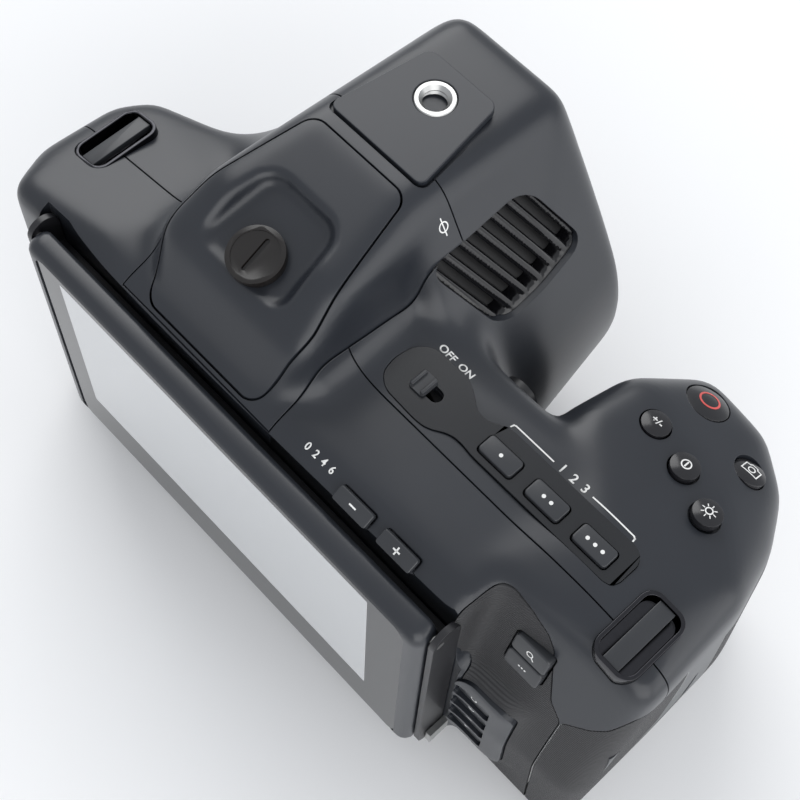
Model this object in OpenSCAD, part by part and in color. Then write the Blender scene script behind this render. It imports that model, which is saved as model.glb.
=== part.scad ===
/* [Body] */
// Distance from the lens axis to the end of the left shoulder
left_reach = 70; // [66:1:76]
// Distance from the lens axis to the outer side of the grip
grip_reach = 117; // [112:1:124]
// Height of the flat deck beside the hump
deck_h = 97.5; // [95:0.5:101]
// Drop of the bevel from the deck to the rear face
bevel_drop = 2.9; // [2:0.1:3.9]
// Rise of the hump above the flat deck
hump_rise = 25.3; // [22:0.1:30]
// Distance from the tripod thread to the rear face
rear_reach = 34.5; // [33:0.5:38]
// Distance from the tripod thread to the front of the left shoulder
front_reach = 14; // [11:1:17]
// Wall of the casings
wall = 2.4; // [2:0.1:3]
// Rounding of the casing edges
edge_r = 5; // [4:0.5:6]
// Where the front casing meets the rear casing, behind the tripod thread
seam_y = 10; // [7:0.5:13]

/* [Hump and lens block] */
// Half width of the hump at its crest
crest_half = 18; // [16.5:0.5:20]
// Half width of the hump where it meets the deck
hump_half = 24; // [22.5:0.5:26]
// Distance from the tripod thread back to the foot of the hump
hump_back = 32; // [30:0.5:33]
// Distance from the tripod thread forward to the face of the lens block
block_reach = 65; // [62:1:69]
// Height of the lens axis
lens_h = 55; // [53:1:60]
// Width of the lens block's face round the throat
block_rim = 15.5; // [14:0.5:16.5]
// How far the lens block flares out toward its root
block_flare = 5; // [4:0.5:6]
// Width of the cover panel where it is widest
cover_w = 42; // [39:0.5:43]
// Width of the cover panel at its rear edge
cover_rear_w = 34; // [31:1:36]
// Width of the cover panel at its front edge
cover_front_w = 27.5; // [25:0.5:29]
// Thickness of the cover panel
cover_t = 1.6; // [1.2:0.1:2]

/* [Grip] */
// Distance from the tripod thread forward to the nose of the grip
grip_nose = 60; // [58:1:64]
// Rounding of the grip
grip_r = 8; // [7:0.5:9]
// Thickness of the rubber skins
rubber_t = 1; // [0.7:0.1:1.4]

/* [Accessory plate] */
// Width of the plate at its rear edge
plate_rear_w = 28; // [25:0.5:31]
// Width of the plate at its front edge
plate_front_w = 20.5; // [18:0.5:23]
// Length of the plate from rear to front
plate_len = 26; // [23:0.5:29]
// Thickness of the plate
plate_t = 2.2; // [1.8:0.1:2.6]
// Distance from the tripod thread forward to the middle of the plate
plate_y = 32; // [30:0.5:34]

/* [Threaded inserts] */
// Minor bore of the 1/4 inch, 20 to the inch thread
thread_bore = 5.1; // [5:0.05:5.3]
// Distance from the tripod thread forward to the top insert
insert_y = 36.5; // [34.5:0.5:37.5]
// Outer diameter of the top insert
insert_d = 9.6; // [9:0.1:11]
// Length of the top insert
insert_len = 7; // [6:0.5:8]
// Outer diameter of the tripod insert
tripod_d = 12; // [11:0.5:14]
// Length of the tripod insert
tripod_len = 8; // [7:0.5:10]

/* [Lens mount] */
// Throat of the bayonet mount
throat_d = 54; // [53:0.1:55]
// Width of the mount ring round the throat
ring_w = 5.5; // [5:0.1:7]
// Thickness of the mount ring
ring_t = 2.4; // [2.2:0.1:3.2]
// How far the collar behind the ring stands out of the lens block
collar_t = 1; // [0.8:0.1:2]
// Distance from the ring's face back to the sensor
flange_focal = 44; // [43:0.5:45]
// Width of the image sensor
sensor_w = 23.1; // [20:0.1:26]
// Height of the image sensor
sensor_h = 13; // [11:0.1:17]
// Number of screws in the mount ring
ring_screws = 4; // [3:1:6]
// Diameter of a mount screw's head
ring_screw_d = 3.2; // [2.6:0.1:3.6]

/* [Screen] */
// Width of the screen housing
screen_w = 126.5; // [122:0.5:128]
// Height of the screen housing
screen_h = 78; // [74:0.5:78]
// Thickness of the screen housing
screen_t = 6.3; // [5.8:0.1:7]
// Distance from the lens axis to the middle of the screen, toward the grip
screen_x = 14.75; // [13.5:0.25:15.5]
// Air between the rear face and the screen housing
screen_gap = 0.5; // [0.4:0.1:0.8]
// Air between the bevel and the top of the screen housing
screen_top_gap = 1.1; // [1.1:0.1:1.8]
// Depth of the pocket in the rear face
pocket_t = 3.8; // [3.5:0.1:4.5]
// Thickness of the bracket plate
bracket_t = 2; // [1.6:0.1:2.4]
// Thickness of the bracket arms
arm_t = 1.5; // [1.2:0.1:1.8]
// Radius of the hinge pins
pin_r = 1; // [0.8:0.05:1.1]
// Height of the lower hinge above the bottom edge of the screen
lower_hinge_up = 5; // [4.5:0.5:8]
// Distance of the upper hinge below the top edge of the screen
upper_hinge_down = 3.8; // [3.5:0.1:4.2]

/* [Keys] */
// Width of a function key
fn_w = 9.2; // [8:0.1:10]
// Depth of a function key
fn_d = 4.6; // [4:0.1:5]
// Distance between function keys
fn_pitch = 13.2; // [12:0.1:13.5]
// Distance from the lens axis to the first function key
fn_x = 61; // [60:0.5:62]
// Radius of the three round deck keys
round_r = 3.4; // [3:0.1:3.8]
// Radius of the record button
record_r = 5.3; // [4.8:0.1:5.6]
// Radius of the still button
still_r = 3.9; // [3.4:0.1:4.2]
// Width of a filter key
nd_w = 9.6; // [8.5:0.1:10]
// Depth of a filter key
nd_d = 3.6; // [3.2:0.1:3.8]
// How far a deck key stands out of its surface
key_out = 0.9; // [0.7:0.1:1.2]
// How far a key travels
key_travel = 0.6; // [0.4:0.1:0.6]
// Depth of a key below its surface
key_in = 1.6; // [1.4:0.1:1.8]
// Width of a menu key
menu_w = 9.6; // [8.5:0.1:10.2]
// Height of a menu key
menu_h = 6.4; // [5.5:0.1:6.8]
// Distance between menu keys
menu_pitch = 7.4; // [7.2:0.1:7.8]
// Clearance round every key
key_gap = 0.3; // [0.2:0.05:0.4]

/* [Battery and fan] */
// Width of the battery
battery_w = 20.5; // [19:0.1:21]
// Depth of the battery
battery_d = 38.4; // [37:0.1:38.6]
// Length of the battery
battery_l = 70.8; // [66:0.1:71]
// Clearance round the battery
battery_gap = 0.4; // [0.3:0.05:0.6]
// Diameter of the fan rotor
fan_d = 24.5; // [22:0.5:25.5]
// Number of fan blades
fan_blades = 9; // [5:1:13]
// Radius of the fan shaft
shaft_r = 1; // [0.8:0.1:1.2]

/* [Hidden] */
$fn = 48;
over = 1;
inner_r = wall * 0.5;
casing = "#33363c";
dark = "#1b1c20";
rubber = "#26272a";
steel = "#b9bcc0";

total_h = deck_h + hump_rise;
bevel_h = deck_h - bevel_drop;
block_r = throat_d / 2 + block_rim;
block_root_r = block_r + block_flare;
ring_d = throat_d + ring_w * 2;
block_y = -block_reach;
ring_y = block_y - collar_t - ring_t;
sensor_y = ring_y + flange_focal;
throat_r = throat_d / 2;
throat_relief = wall * 0.25;
rear_y = rear_reach;
pocket_y = rear_y - pocket_t;
inside_y = pocket_y - wall;
screen_y = rear_y + screen_gap;
screen_top = bevel_h - screen_top_gap;
screen_low = screen_top - screen_h;
lower_z = screen_low + lower_hinge_up;
upper_z = screen_top - upper_hinge_down;
bevel_share = bevel_h / deck_h;
upper_y = screen_y + pin_r * 1.7;
arm_d = upper_y + pin_r * 2 - pocket_y - key_gap;
arm_y = pocket_y + key_gap + arm_d / 2;
lower_y = arm_y;

// Corners of the casing forms, as shares of the reaches and the deck height. The last number is
// the rounding as a share of edge_r.
core_shares = [
  [0.99, 0.75, 0.925, 1], [0.91, 1, 0.95, 0.6], [0.985, -0.2, 0.91, 1], [0.93, -0.62, 0.91, 1],
  [0.55, -1.25, 0.93, 1], [0.55, 0.86, 0.99, 0.3], [0.35, 0.3, 1, 1], [-0.684, 1, bevel_share, 0.2],
  [0.35, 1, bevel_share, 0.2], [-0.684, 0.86, 1, 0.3], [-0.684, -1.1, 0.978, 1], [0.97, 0.75, 0, 0.6],
  [0.97, -0.2, 0, 0.6], [0.55, -1.15, 0, 0.6], [0.9, 1, 0.04, 0.6], [-0.684, 1, 0.04, 0.6],
  [-0.684, -1, 0, 0.6]];
grip_shares = [
  [-1, 0.5, 0.965, 0.7], [-0.66, 0.62, 1, 0.3], [-0.82, 0.5, 1, 0.7], [-0.94, 0, 0.985, 1],
  [-0.8, 0, 1, 1], [-1, 0.84, 0.52, 1], [-0.7, 0.88, 0.55, 1], [-0.985, 0.75, 0, 0.6],
  [-0.6, 0.75, 0, 0.6]];

// Places a corner point inside the form by its own rounding
function corner(s, r, inset) = let (q = max(r - inset, inner_r))
  [s[0] - sign(s[0]) * (inset + q), s[1] - sign(s[1]) * (inset + q),
   s[2] > deck_h / 4 ? s[2] - inset - q : s[2] + inset + q];
function body_point(s) = [s[0] * (s[0] > 0 ? left_reach : grip_reach),
  s[1] * (s[1] > 0 ? rear_reach : front_reach), s[2] * deck_h];

module ball(p, r, inset) {
  translate(corner(p, r, inset)) sphere(max(r - inset, inner_r), $fn = 16);
}

// The main block of the body, from the left shoulder to the inner side of the grip
module core_form(inset) {
  hull() for (s = core_shares) ball(body_point(s), s[3] * edge_r, inset);
}

// Grip corners: shares of grip_reach, grip_nose and deck_h
nose_shares = [
  [-0.73, -0.9, 0.862], [-0.837, -0.88, 0.857], [-0.905, -0.78, 0.862], [-0.957, -0.6, 0.88],
  [-0.65, -0.45, 0.966], [-0.667, -0.685, 0.934], [-0.906, -0.54, 0.933], [-0.99, -0.35, 0.945],
  [-0.72, -1, 0.5], [-0.84, -0.98, 0.5], [-0.94, -0.86, 0.5], [-1, -0.4, 0.6],
  [-0.65, -0.5, 0.5], [-0.59, -0.85, 0], [-0.84, -0.92, 0], [-0.905, -0.86, 0],
  [-0.97, -0.66, 0], [-0.985, -0.2, 0], [-0.56, -0.3, 0]];
function nose_point(s) = [s[0] * grip_reach, s[1] * grip_nose, s[2] * deck_h];

// The grip, with the rear corner that the thumb rests on
module grip_form(inset) {
  hull() {
    for (s = nose_shares) ball(nose_point(s), s[2] > 0.3 ? grip_r : edge_r * 0.6, inset);
    for (s = grip_shares) ball(body_point(s), s[3] * edge_r, inset);
  }
}

// Hump stations: shares of crest_half or hump_half, of hump_back or block_reach, of total_h
crest_shares = [[1, -0.95, 0.968], [1, -0.3, 1], [1.2, 0.4, 0.974], [1.3, 0.72, 0.915]];
foot_shares = [[0.8, 1, 0.775], [1.05, 0.62, 0.7], [1.1, -0.2, 0.6]];
function hump_point(s, half) = [s[0] * half, s[1] * (s[1] > 0 ? hump_back : block_reach),
  s[2] * total_h];

module hump_form(inset) {
  hull() for (m = [-1, 1]) {
    for (s = crest_shares) ball([m * s[0] * crest_half, hump_point(s, crest_half)[1],
      hump_point(s, crest_half)[2]], edge_r, inset);
    for (s = foot_shares) ball([m * s[0] * hump_half, hump_point(s, hump_half)[1],
      hump_point(s, hump_half)[2]], edge_r, inset);
  }
}

// The lens block: round at the lens, flared toward the body, with the hump's front on top
module block_form(inset) {
  hull() {
    translate([0, block_y + inset, lens_h]) rotate([-90, 0, 0])
      cylinder(r = block_r - inset - edge_r * 0.4, h = edge_r, $fn = 32);
    translate([0, block_y + inset + edge_r * 0.4, lens_h]) rotate([-90, 0, 0])
      cylinder(r = block_r - inset, h = edge_r, $fn = 32);
    translate([0, -block_reach * 0.5, lens_h]) rotate([-90, 0, 0])
      cylinder(r = block_root_r - inset, h = block_reach * 0.3, $fn = 32);
    for (m = [-1, 1]) {
      ball([m * crest_half, -block_reach, total_h * 0.885], edge_r, inset);
      ball([m * crest_half, -block_reach * 0.95, total_h * 0.968], edge_r, inset);
      ball([m * crest_half, -block_reach * 0.3, total_h], edge_r, inset);
    }
  }
}

// The hump casing lifts off at this joint: low over the lens block, narrow over the deck
hump_z = deck_h * 0.9;
joint_y = -front_reach;
module hump_zone() {
  translate([-block_r * 0.92, block_y - over, hump_z])
    cube([block_r * 1.84, joint_y - block_y + over, total_h]);
  translate([-hump_half, joint_y - over, hump_z])
    cube([hump_half * 2, hump_back - joint_y + over, total_h]);
}
module hump_solid(inset) {
  hump_form(inset);
  block_form(inset);
}
module body_solid(inset) {
  core_form(inset);
  grip_form(inset);
}
module behind(y) {
  translate([-grip_reach * 2, y, -over]) cube([grip_reach * 4, rear_reach * 4, total_h * 2]);
}
module before(y) {
  mirror([0, 1, 0]) behind(-y);
}

// Openings that several casings share
card_y = [-0.1 * grip_nose, 0.62 * rear_reach];
card_z = [deck_h * 0.19, deck_h * 0.66];
module card_window(gap) {
  translate([-grip_reach - over, card_y[0] - gap, card_z[0] - gap])
    cube([grip_reach * 0.1, card_y[1] - card_y[0] + gap * 2, card_z[1] - card_z[0] + gap * 2]);
}
port_y = [-0.1 * front_reach, 0.66 * rear_reach];
port_upper_z = [deck_h * 0.5, deck_h * 0.82];
port_lower_z = [deck_h * 0.12, deck_h * 0.47];
module port_window(z, gap) {
  translate([left_reach * 0.92, port_y[0] - gap, z[0] - gap])
    cube([left_reach * 0.2, port_y[1] - port_y[0] + gap * 2, z[1] - z[0] + gap * 2]);
}

// Battery bay, upright in the grip
battery_x = -grip_reach + wall + grip_r * 1.6 + battery_w / 2;
battery_y = -grip_nose + wall * 1.5 + grip_r * 1.75 + battery_d / 2;
battery_z = wall + key_gap;
bay_lip = wall * 0.5;
module bay(gap, top) {
  translate([battery_x - battery_w / 2 - gap, battery_y - battery_d / 2 - gap, -over])
    cube([battery_w + gap * 2, battery_d + gap * 2, battery_z + battery_l + top + over]);
}
module door_plan(gap, low, high) {
  translate([battery_x - battery_w / 2 - wall - gap, battery_y - battery_d / 2 - wall * 0.4 - gap, low])
    cube([battery_w + wall * 2 + gap * 2, battery_d + wall + gap * 2, high - low]);
}

// Vent in both flanks of the hump, a parallelogram that leans forward as it falls
vent_top = hump_z + (total_h - hump_z) * 0.58;
vent_low = hump_z + wall * 0.27;
vent_lean = block_reach * 0.17;
module vent_window(gap, side) {
  mirror([side, 0, 0]) translate([-crest_half * 0.7, 0, 0]) rotate([90, 0, -90])
    linear_extrude(block_root_r * 0.65)
      polygon([[block_reach * 0.22 - gap, vent_top + gap], [block_reach * 0.66 + gap, vent_top + gap],
        [block_reach * 0.66 + vent_lean + gap, vent_low - gap],
        [block_reach * 0.22 + vent_lean - gap, vent_low - gap]]);
}

flange_half = throat_r + wall;
flange_y = sensor_y - wall * 4;
plate_z = wall * 0.8;
plate_w = tripod_d * 4;
plate_d = tripod_d * 2.2;
module base_plan(gap, low, high) {
  translate([-plate_w / 2 - gap, -front_reach + edge_r * 0.6 + wall - gap, low])
    cube([plate_w + gap * 2, plate_d + gap * 2, high - low]);
}
module tripod_boss(gap) {
  cylinder(d = tripod_d + gap * 2, h = tripod_len);
}

module front_housing() color(casing) difference() {
  union() {
    difference() {
      union() {
        intersection() { body_solid(0); before(seam_y); }
        block_form(0);
        translate([0, block_y + over, lens_h]) rotate([90, 0, 0])
          cylinder(d = ring_d, h = collar_t + over, $fn = 96);
      }
      difference() {
        union() {
          core_form(wall);
          grip_form(wall);
          block_form(wall);
        }
        translate([0, block_y, lens_h]) rotate([-90, 0, 0])
          cylinder(r = throat_r + wall, h = flange_y - block_y, $fn = 96);
        translate([-flange_half, flange_y - wall * 0.5, lens_h - flange_half])
          cube([flange_half * 2, wall * 0.5, flange_half * 2]);
        bay(key_gap + bay_lip, bay_lip + key_gap);
        translate([-tripod_d, -tripod_d * 0.5, 0]) cube([tripod_d * 2, tripod_d + seam_y, tripod_len + wall]);
      }
    }
  }
  hump_zone();
  vent_window(0, 0);
  vent_window(0, 1);
  translate([0, ring_y - over, lens_h]) rotate([-90, 0, 0])
    cylinder(r = throat_r + throat_relief, h = sensor_y - ring_y + over, $fn = 96);
  bay(battery_gap, battery_gap);
  door_plan(key_gap, -over, wall);
  card_window(key_gap);
  port_window(port_upper_z, key_gap);
  port_window(port_lower_z, key_gap);
  base_plan(0, -over, plate_z);
  tripod_boss(0);
  deck_cuts();
  front_cuts();
  rubber_cuts();
  screw_holes();
  behind(seam_y);
}

// Pocket behind the screen, which the bracket folds into
module screen_pocket() {
  translate([-screen_x - screen_w / 2 - arm_t * 2.6, pocket_y, screen_low - wall])
    cube([screen_w + arm_t * 5.2, rear_reach, screen_top + screen_top_gap * 0.8 - screen_low + wall]);
}

module rear_housing() color(casing) difference() {
  body_solid(0);
  before(seam_y);
  difference() {
    union() {
      intersection() { core_form(wall); before(inside_y); }
      difference() {
        grip_form(wall);
        translate([-screen_x - screen_w / 2 - arm_t * 2.6 - wall, inside_y, 0])
          cube([grip_reach, rear_reach, total_h]);
      }
    }
    translate([-tripod_d, -tripod_d * 0.5, 0]) cube([tripod_d * 2, tripod_d + seam_y, tripod_len + wall]);
  }
  hump_zone();
  screen_pocket();
  card_window(key_gap);
  port_window(port_upper_z, key_gap);
  port_window(port_lower_z, key_gap);
  base_plan(0, -over, plate_z);
  deck_cuts();
  rear_cuts();
  rubber_cuts();
  screw_holes();
}

module hump_housing() color(casing) difference() {
  intersection() {
    union() {
      core_form(0);
      hump_solid(0);
    }
    hump_zone();
  }
  hump_solid(wall);
  cover_plan(key_gap * 0.5);
  dish(dish_rim + key_gap * 0.5, dish_t + cover_t);
  plate_cut();
  vent_window(0, 0);
  vent_window(0, 1);
}

// Cover panel on the hump, flush with it, with a dish round its socket
cover_back = hump_back * 0.97;
cover_mid = hump_back * 0.58;
cover_front = plate_y - plate_len / 2 - wall * 0.8;
module cover_outline(gap) {
  c = edge_r * 0.5;
  polygon([[cover_rear_w / 2 - c, cover_back + gap], [cover_rear_w / 2 + gap, cover_back - c],
    [cover_w / 2 + gap, cover_mid + c], [cover_w / 2 + gap, cover_mid - c],
    [cover_front_w / 2 + gap, c - cover_front], [cover_front_w / 2 - c, -cover_front - gap],
    [c - cover_front_w / 2, -cover_front - gap], [-cover_front_w / 2 - gap, c - cover_front],
    [-cover_w / 2 - gap, cover_mid - c], [-cover_w / 2 - gap, cover_mid + c],
    [-cover_rear_w / 2 - gap, cover_back - c], [c - cover_rear_w / 2, cover_back + gap]]);
}
module cover_plan(gap) {
  difference() {
    translate([0, 0, hump_z + wall]) linear_extrude(total_h) cover_outline(gap);
    hump_form(cover_t);
  }
}
socket_y = hump_back * 0.4;
socket_r = cover_w * 0.155;
socket_lean = 14;
dish_t = cover_t * 2.2;
dish_w = cover_w * 0.62;
dish_d = cover_w * 0.52;
dish_rim = cover_t * 0.8;
socket_z = total_h * 0.962;
module at_socket() translate([0, socket_y, socket_z]) rotate([-socket_lean, 0, 0]) children();
module dish(gap, depth) {
  at_socket() translate([0, 0, -depth])
    soft_box(dish_w + gap * 2, dish_d + gap * 2, total_h * 0.2, dish_d * 0.28);
}
module hump_cover() color(casing) difference() {
  intersection() {
    hump_form(0);
    difference() {
      translate([0, 0, hump_z + wall]) linear_extrude(total_h) cover_outline(0);
      difference() {
        hump_form(cover_t);
        dish(dish_rim, dish_t + cover_t);
      }
    }
  }
  dish(0, dish_t);
  at_socket() cylinder(r = socket_r + key_gap, h = total_h * 0.2, center = true);
}
module socket_plug() color("#2a2422") at_socket() translate([0, 0, -dish_t - cover_t]) difference() {
  cylinder(r = socket_r, h = cover_t * 1.5);
  translate([-socket_r * 0.75, -cover_t * 0.3, cover_t]) cube([socket_r * 1.5, cover_t * 0.6, cover_t]);
}

// Places on the deck, as shares of the reaches
fall_y = -grip_nose * 0.07;
crease_y = -grip_nose * 0.55;
deck_fall = deck_h * 0.067;
nose_fall = deck_h * 0.072;
nose_len = grip_nose * 0.217;
nose_tilt = atan(nose_fall / nose_len);
deck_tilt = atan(deck_fall / (fall_y - crease_y));
function deck_z(y) = y > crease_y ? deck_h - deck_fall * max(0, (fall_y - y) / (fall_y - crease_y))
  : deck_h - deck_fall - nose_fall * (crease_y - y) / nose_len;
fn_y = rear_reach * 0.055;
function fn_at(i) = [-fn_x - fn_pitch * i, fn_y, deck_h - key_sink];
key_sink = key_gap;
round_shares = [[-0.652, -0.5], [-0.745, -0.447], [-0.833, -0.365]];
function round_at(i) = [round_shares[i][0] * grip_reach, round_shares[i][1] * grip_nose,
  deck_z(round_shares[i][1] * grip_nose)];
record_at = [-0.677 * grip_reach, -0.755 * grip_nose, deck_z(-0.755 * grip_nose)];
still_at = [-0.823 * grip_reach, -0.655 * grip_nose, deck_h * 0.87];
switch_at = [-0.327 * grip_reach, fn_y, deck_h - key_sink];
switch_r = fn_d * 0.62;
switch_travel = fn_d * 0.8;
key_depth = key_in + key_travel + key_gap;
plate_deep = wall * 0.6;

module soft_box(w, d, h, r) {
  linear_extrude(h) {
    square([w - r * 2, d], center = true);
    square([w, d - r * 2], center = true);
    for (i = [-1, 1], j = [-1, 1]) translate([i * (w / 2 - r), j * (d / 2 - r)]) circle(r, $fn = 24);
  }
}
module deck_key(at, tilt, w, d, low, high) {
  translate(at) rotate([tilt, 0, 0]) translate([0, 0, -low]) soft_box(w, d, low + high, d * 0.2);
}
module round_key(at, tilt, r, low, high) {
  translate(at) rotate([tilt, 0, 0]) translate([0, 0, -low]) cylinder(r = r, h = low + high);
}

// Glossy plate under the function keys and the power switch
module key_plate_plan(gap, h) {
  linear_extrude(h) difference() {
    union() {
      translate([switch_at[0] - fn_d * 0.35, fn_y]) square([fn_d * 2, fn_d * 2.5 + gap * 2], center = true);
      for (m = [-1, 1]) translate([switch_at[0] - fn_d * 0.35 + m * fn_d, fn_y])
        circle(fn_d * 1.25 + gap);
      translate([-fn_x - fn_pitch, fn_y])
        square([fn_pitch * 2 + fn_w + fn_d + gap * 2, fn_d * 1.9 + gap * 2], center = true);
      translate([-fn_x + fn_w * 0.5, fn_y]) square([fn_w * 2, fn_d * 1.3 + gap * 2], center = true);
    }
  }
}
module key_plate() color(dark) difference() {
  translate([0, 0, deck_h - plate_deep - key_sink]) key_plate_plan(0, plate_deep);
  for (i = [0:2]) deck_key(fn_at(i), 0, fn_w + key_gap * 2, fn_d + key_gap * 2, wall + over, over);
  switch_slot();
}
module switch_slot() {
  r = switch_r * 0.55 + key_gap;
  for (m = [0, 1]) translate([switch_at[0] - m * switch_travel, switch_at[1], deck_h - wall - over])
    cylinder(r = r, h = wall + over * 2);
  translate([switch_at[0] - switch_travel, switch_at[1] - r, deck_h - wall - over])
    cube([switch_travel, r * 2, wall + over * 2]);
}
module deck_cuts() {
  translate([0, 0, deck_h - plate_deep - key_sink]) key_plate_plan(0, wall + over);
  for (i = [0:2]) {
    deck_key(fn_at(i), 0, fn_w + key_gap * 2, fn_d + key_gap * 2, wall + over, over);
    round_key(round_at(i), deck_tilt, round_r + key_gap, wall + over, over * 2);
  }
  switch_slot();
  round_key(record_at, nose_tilt, record_r + key_gap, wall + over, over * 2);
  round_key(still_at, nose_tilt, still_r + key_gap, wall + over, over * 2);
  lug_place(1) lug_block(0);
  lug_place(-1) lug_block(0);
}

// Strap lugs
lug_w = fn_d * 2.4;
lug_d = fn_d * 4.1;
lug_t = wall * 2;
lug_rim = wall * 0.5;
lug_y = rear_reach * 0.24;
lug_left = [left_reach * 0.815, lug_y, deck_h * 0.937];
lug_right = [-grip_reach * 0.905, lug_y, deck_h * 0.985];
lug_lean = 9;
module lug_place(side) {
  translate(side > 0 ? lug_left : lug_right)
    rotate([0, side > 0 ? lug_lean * 1.3 : -lug_lean * 0.6, 0]) children();
}
module lug_block(gap) {
  translate([0, 0, -lug_t]) soft_box(lug_w + gap * 2, lug_d + gap * 2, lug_t + over * 3, lug_w * 0.15);
}
module strap_lug() {
  difference() {
    translate([0, 0, -lug_t]) soft_box(lug_w, lug_d, lug_t + lug_rim * 0.4, lug_w * 0.15);
    translate([0, 0, lug_rim - lug_t])
      soft_box(lug_w - lug_rim * 2, lug_d - lug_rim * 2, lug_t + over, lug_w * 0.1);
  }
  translate([0, lug_d / 2 - lug_rim * 0.5, -lug_rim]) rotate([90, 0, 0])
    cylinder(r = lug_rim, h = lug_d - lug_rim);
}
module strap_lugs() color(steel) {
  lug_place(1) strap_lug();
  lug_place(-1) strap_lug();
}

// Keys on the deck
module function_key(i) {
  deck_key(fn_at(i), 0, fn_w, fn_d, key_in, key_out);
}
module function_key_1() color(casing) function_key(0);
module function_key_2() color(casing) function_key(1);
module function_key_3() color(casing) function_key(2);
module deck_round(i) color(casing) round_key(round_at(i), deck_tilt, round_r, key_in, key_out);
module iso_key() deck_round(0);
module shutter_key() deck_round(1);
module balance_key() deck_round(2);
module record_button() color(casing) round_key(record_at, nose_tilt, record_r, key_in, key_out * 1.6);
module still_button() color(casing) round_key(still_at, nose_tilt, still_r, key_in, key_out * 1.4);
module power_switch() color(casing) {
  translate(switch_at) soft_box(fn_d, fn_d * 1.5, key_out * 1.4, fn_d * 0.3);
  translate([switch_at[0], switch_at[1], switch_at[2] - wall]) cylinder(r = switch_r * 0.55, h = wall);
}

// Filter keys on the bevel behind the deck
nd_y = rear_reach * 0.905;
nd_tilt = -atan((deck_h - bevel_h) / (rear_reach * 0.14));
nd_z = bevel_h + (rear_reach - nd_y) * (deck_h - bevel_h) / (rear_reach * 0.14);
function nd_at(i) = [-grip_reach * 0.415 - nd_w * 1.34 * i, nd_y, nd_z];
module nd_key(i) color(casing) deck_key(nd_at(i), nd_tilt, nd_w, nd_d, key_in * 0.6, key_out * 0.7);
module nd_minus_key() nd_key(0);
module nd_plus_key() nd_key(1);

// Keys on the rear face beside the screen
menu_x = -grip_reach * 0.745;
menu_mid_z = deck_h * 0.46;
back_y = rear_reach * 0.872;
function menu_at(i) = [menu_x, back_y, menu_mid_z + (1.5 - i) * menu_pitch];
zoom_x = -grip_reach * 0.79;
zoom_lean = 13;
zoom_z = deck_h * 0.865;
zoom_y = back_y - (zoom_z - deck_h * 0.53) * tan(zoom_lean);
function zoom_at(i) = [zoom_x, zoom_y + i * menu_h * 0.98 * sin(zoom_lean),
  zoom_z - i * menu_h * 0.98 * cos(zoom_lean)];
module rear_key(at, lean, low, high, gap) {
  translate(at) rotate([-90 + lean, 0, 0]) translate([0, 0, -low])
    soft_box(menu_w + gap * 2, menu_h * 0.94 + gap * 2, low + high, menu_h * 0.2);
}
module rear_cuts() {
  for (i = [0:3]) rear_key(menu_at(i), 0, wall + over * 2, over * 3, key_gap * 0.5);
  for (i = [0:1]) rear_key(zoom_at(i), zoom_lean, wall + over * 2, over * 3, key_gap * 0.5);
  for (i = [0:1]) deck_key(nd_at(i), nd_tilt, nd_w + key_gap * 2, nd_d + key_gap * 2, wall + over, over * 2);
}
module menu_key_at(i) color(casing) rear_key(menu_at(i), 0, key_in, key_out, -key_gap * 0.5);
module focus_key() menu_key_at(0);
module iris_key() menu_key_at(1);
module menu_key() menu_key_at(2);
module play_key() menu_key_at(3);
module zoom_key() color(casing) rear_key(zoom_at(0), zoom_lean, key_in, key_out, -key_gap * 0.5);
module rate_key() color(casing) rear_key(zoom_at(1), zoom_lean, key_in, key_out, -key_gap * 0.5);

// Rubber skins, let into the casings
module grip_zone(gap) {
  translate([-grip_reach * 1.1, -grip_nose * 1.1, wall * 2 - gap])
    cube([grip_reach * 0.62, grip_nose * 1.1 - front_reach * 0.9 + gap, deck_h * 0.73 + gap * 2]);
}
module thumb_zone(gap) {
  translate([-grip_reach * 0.945 - gap, seam_y + wall, wall * 4 - gap])
    cube([grip_reach * 0.23 + gap * 2, rear_reach, deck_h * 0.84 + gap * 2]);
}
module rubber_cuts() {
  difference() {
    union() {
      grip_zone(0);
      thumb_zone(0);
    }
    grip_form(rubber_t);
  }
}
module grip_rubber() color(rubber) difference() {
  intersection() {
    grip_form(0);
    grip_zone(-key_gap * 0.5);
  }
  grip_form(rubber_t);
  core_form(0);
  translate(dial_at) cylinder(r = dial_r + key_gap, h = dial_t + key_gap * 2, center = true);
}
module thumb_rubber() color(rubber) difference() {
  intersection() {
    grip_form(0);
    thumb_zone(-key_gap * 0.5);
  }
  grip_form(rubber_t);
  core_form(0);
  lug_place(-1) lug_block(0);
  for (i = [0:3]) rear_key(menu_at(i), 0, wall * 2, over * 3, key_gap);
  for (i = [0:1]) rear_key(zoom_at(i), zoom_lean, wall * 2, over * 3, key_gap);
}

// Accessory plate and its insert
module plate_plan(gap) {
  polygon([[-plate_rear_w / 2 - gap, plate_len / 2 + gap], [plate_rear_w / 2 + gap, plate_len / 2 + gap],
    [plate_front_w / 2 + gap, -plate_len / 2 - gap], [-plate_front_w / 2 - gap, -plate_len / 2 - gap]]);
}
plate_low = total_h - plate_t;
module plate_cut() {
  translate([0, -plate_y, plate_low]) linear_extrude(plate_t + over) plate_plan(key_gap);
  translate([0, -insert_y, plate_low - insert_len]) cylinder(d = insert_d, h = insert_len + over);
}
module accessory_plate() color(dark) difference() {
  translate([0, -plate_y, plate_low]) linear_extrude(plate_t) plate_plan(0);
  translate([0, -insert_y, plate_low - over]) cylinder(d = insert_d, h = plate_t + over * 2);
}
module top_insert() color(steel) translate([0, -insert_y, total_h - insert_len]) difference() {
  cylinder(d = insert_d, h = insert_len);
  translate([0, 0, -over]) cylinder(d = thread_bore, h = insert_len + over * 2);
}

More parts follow.
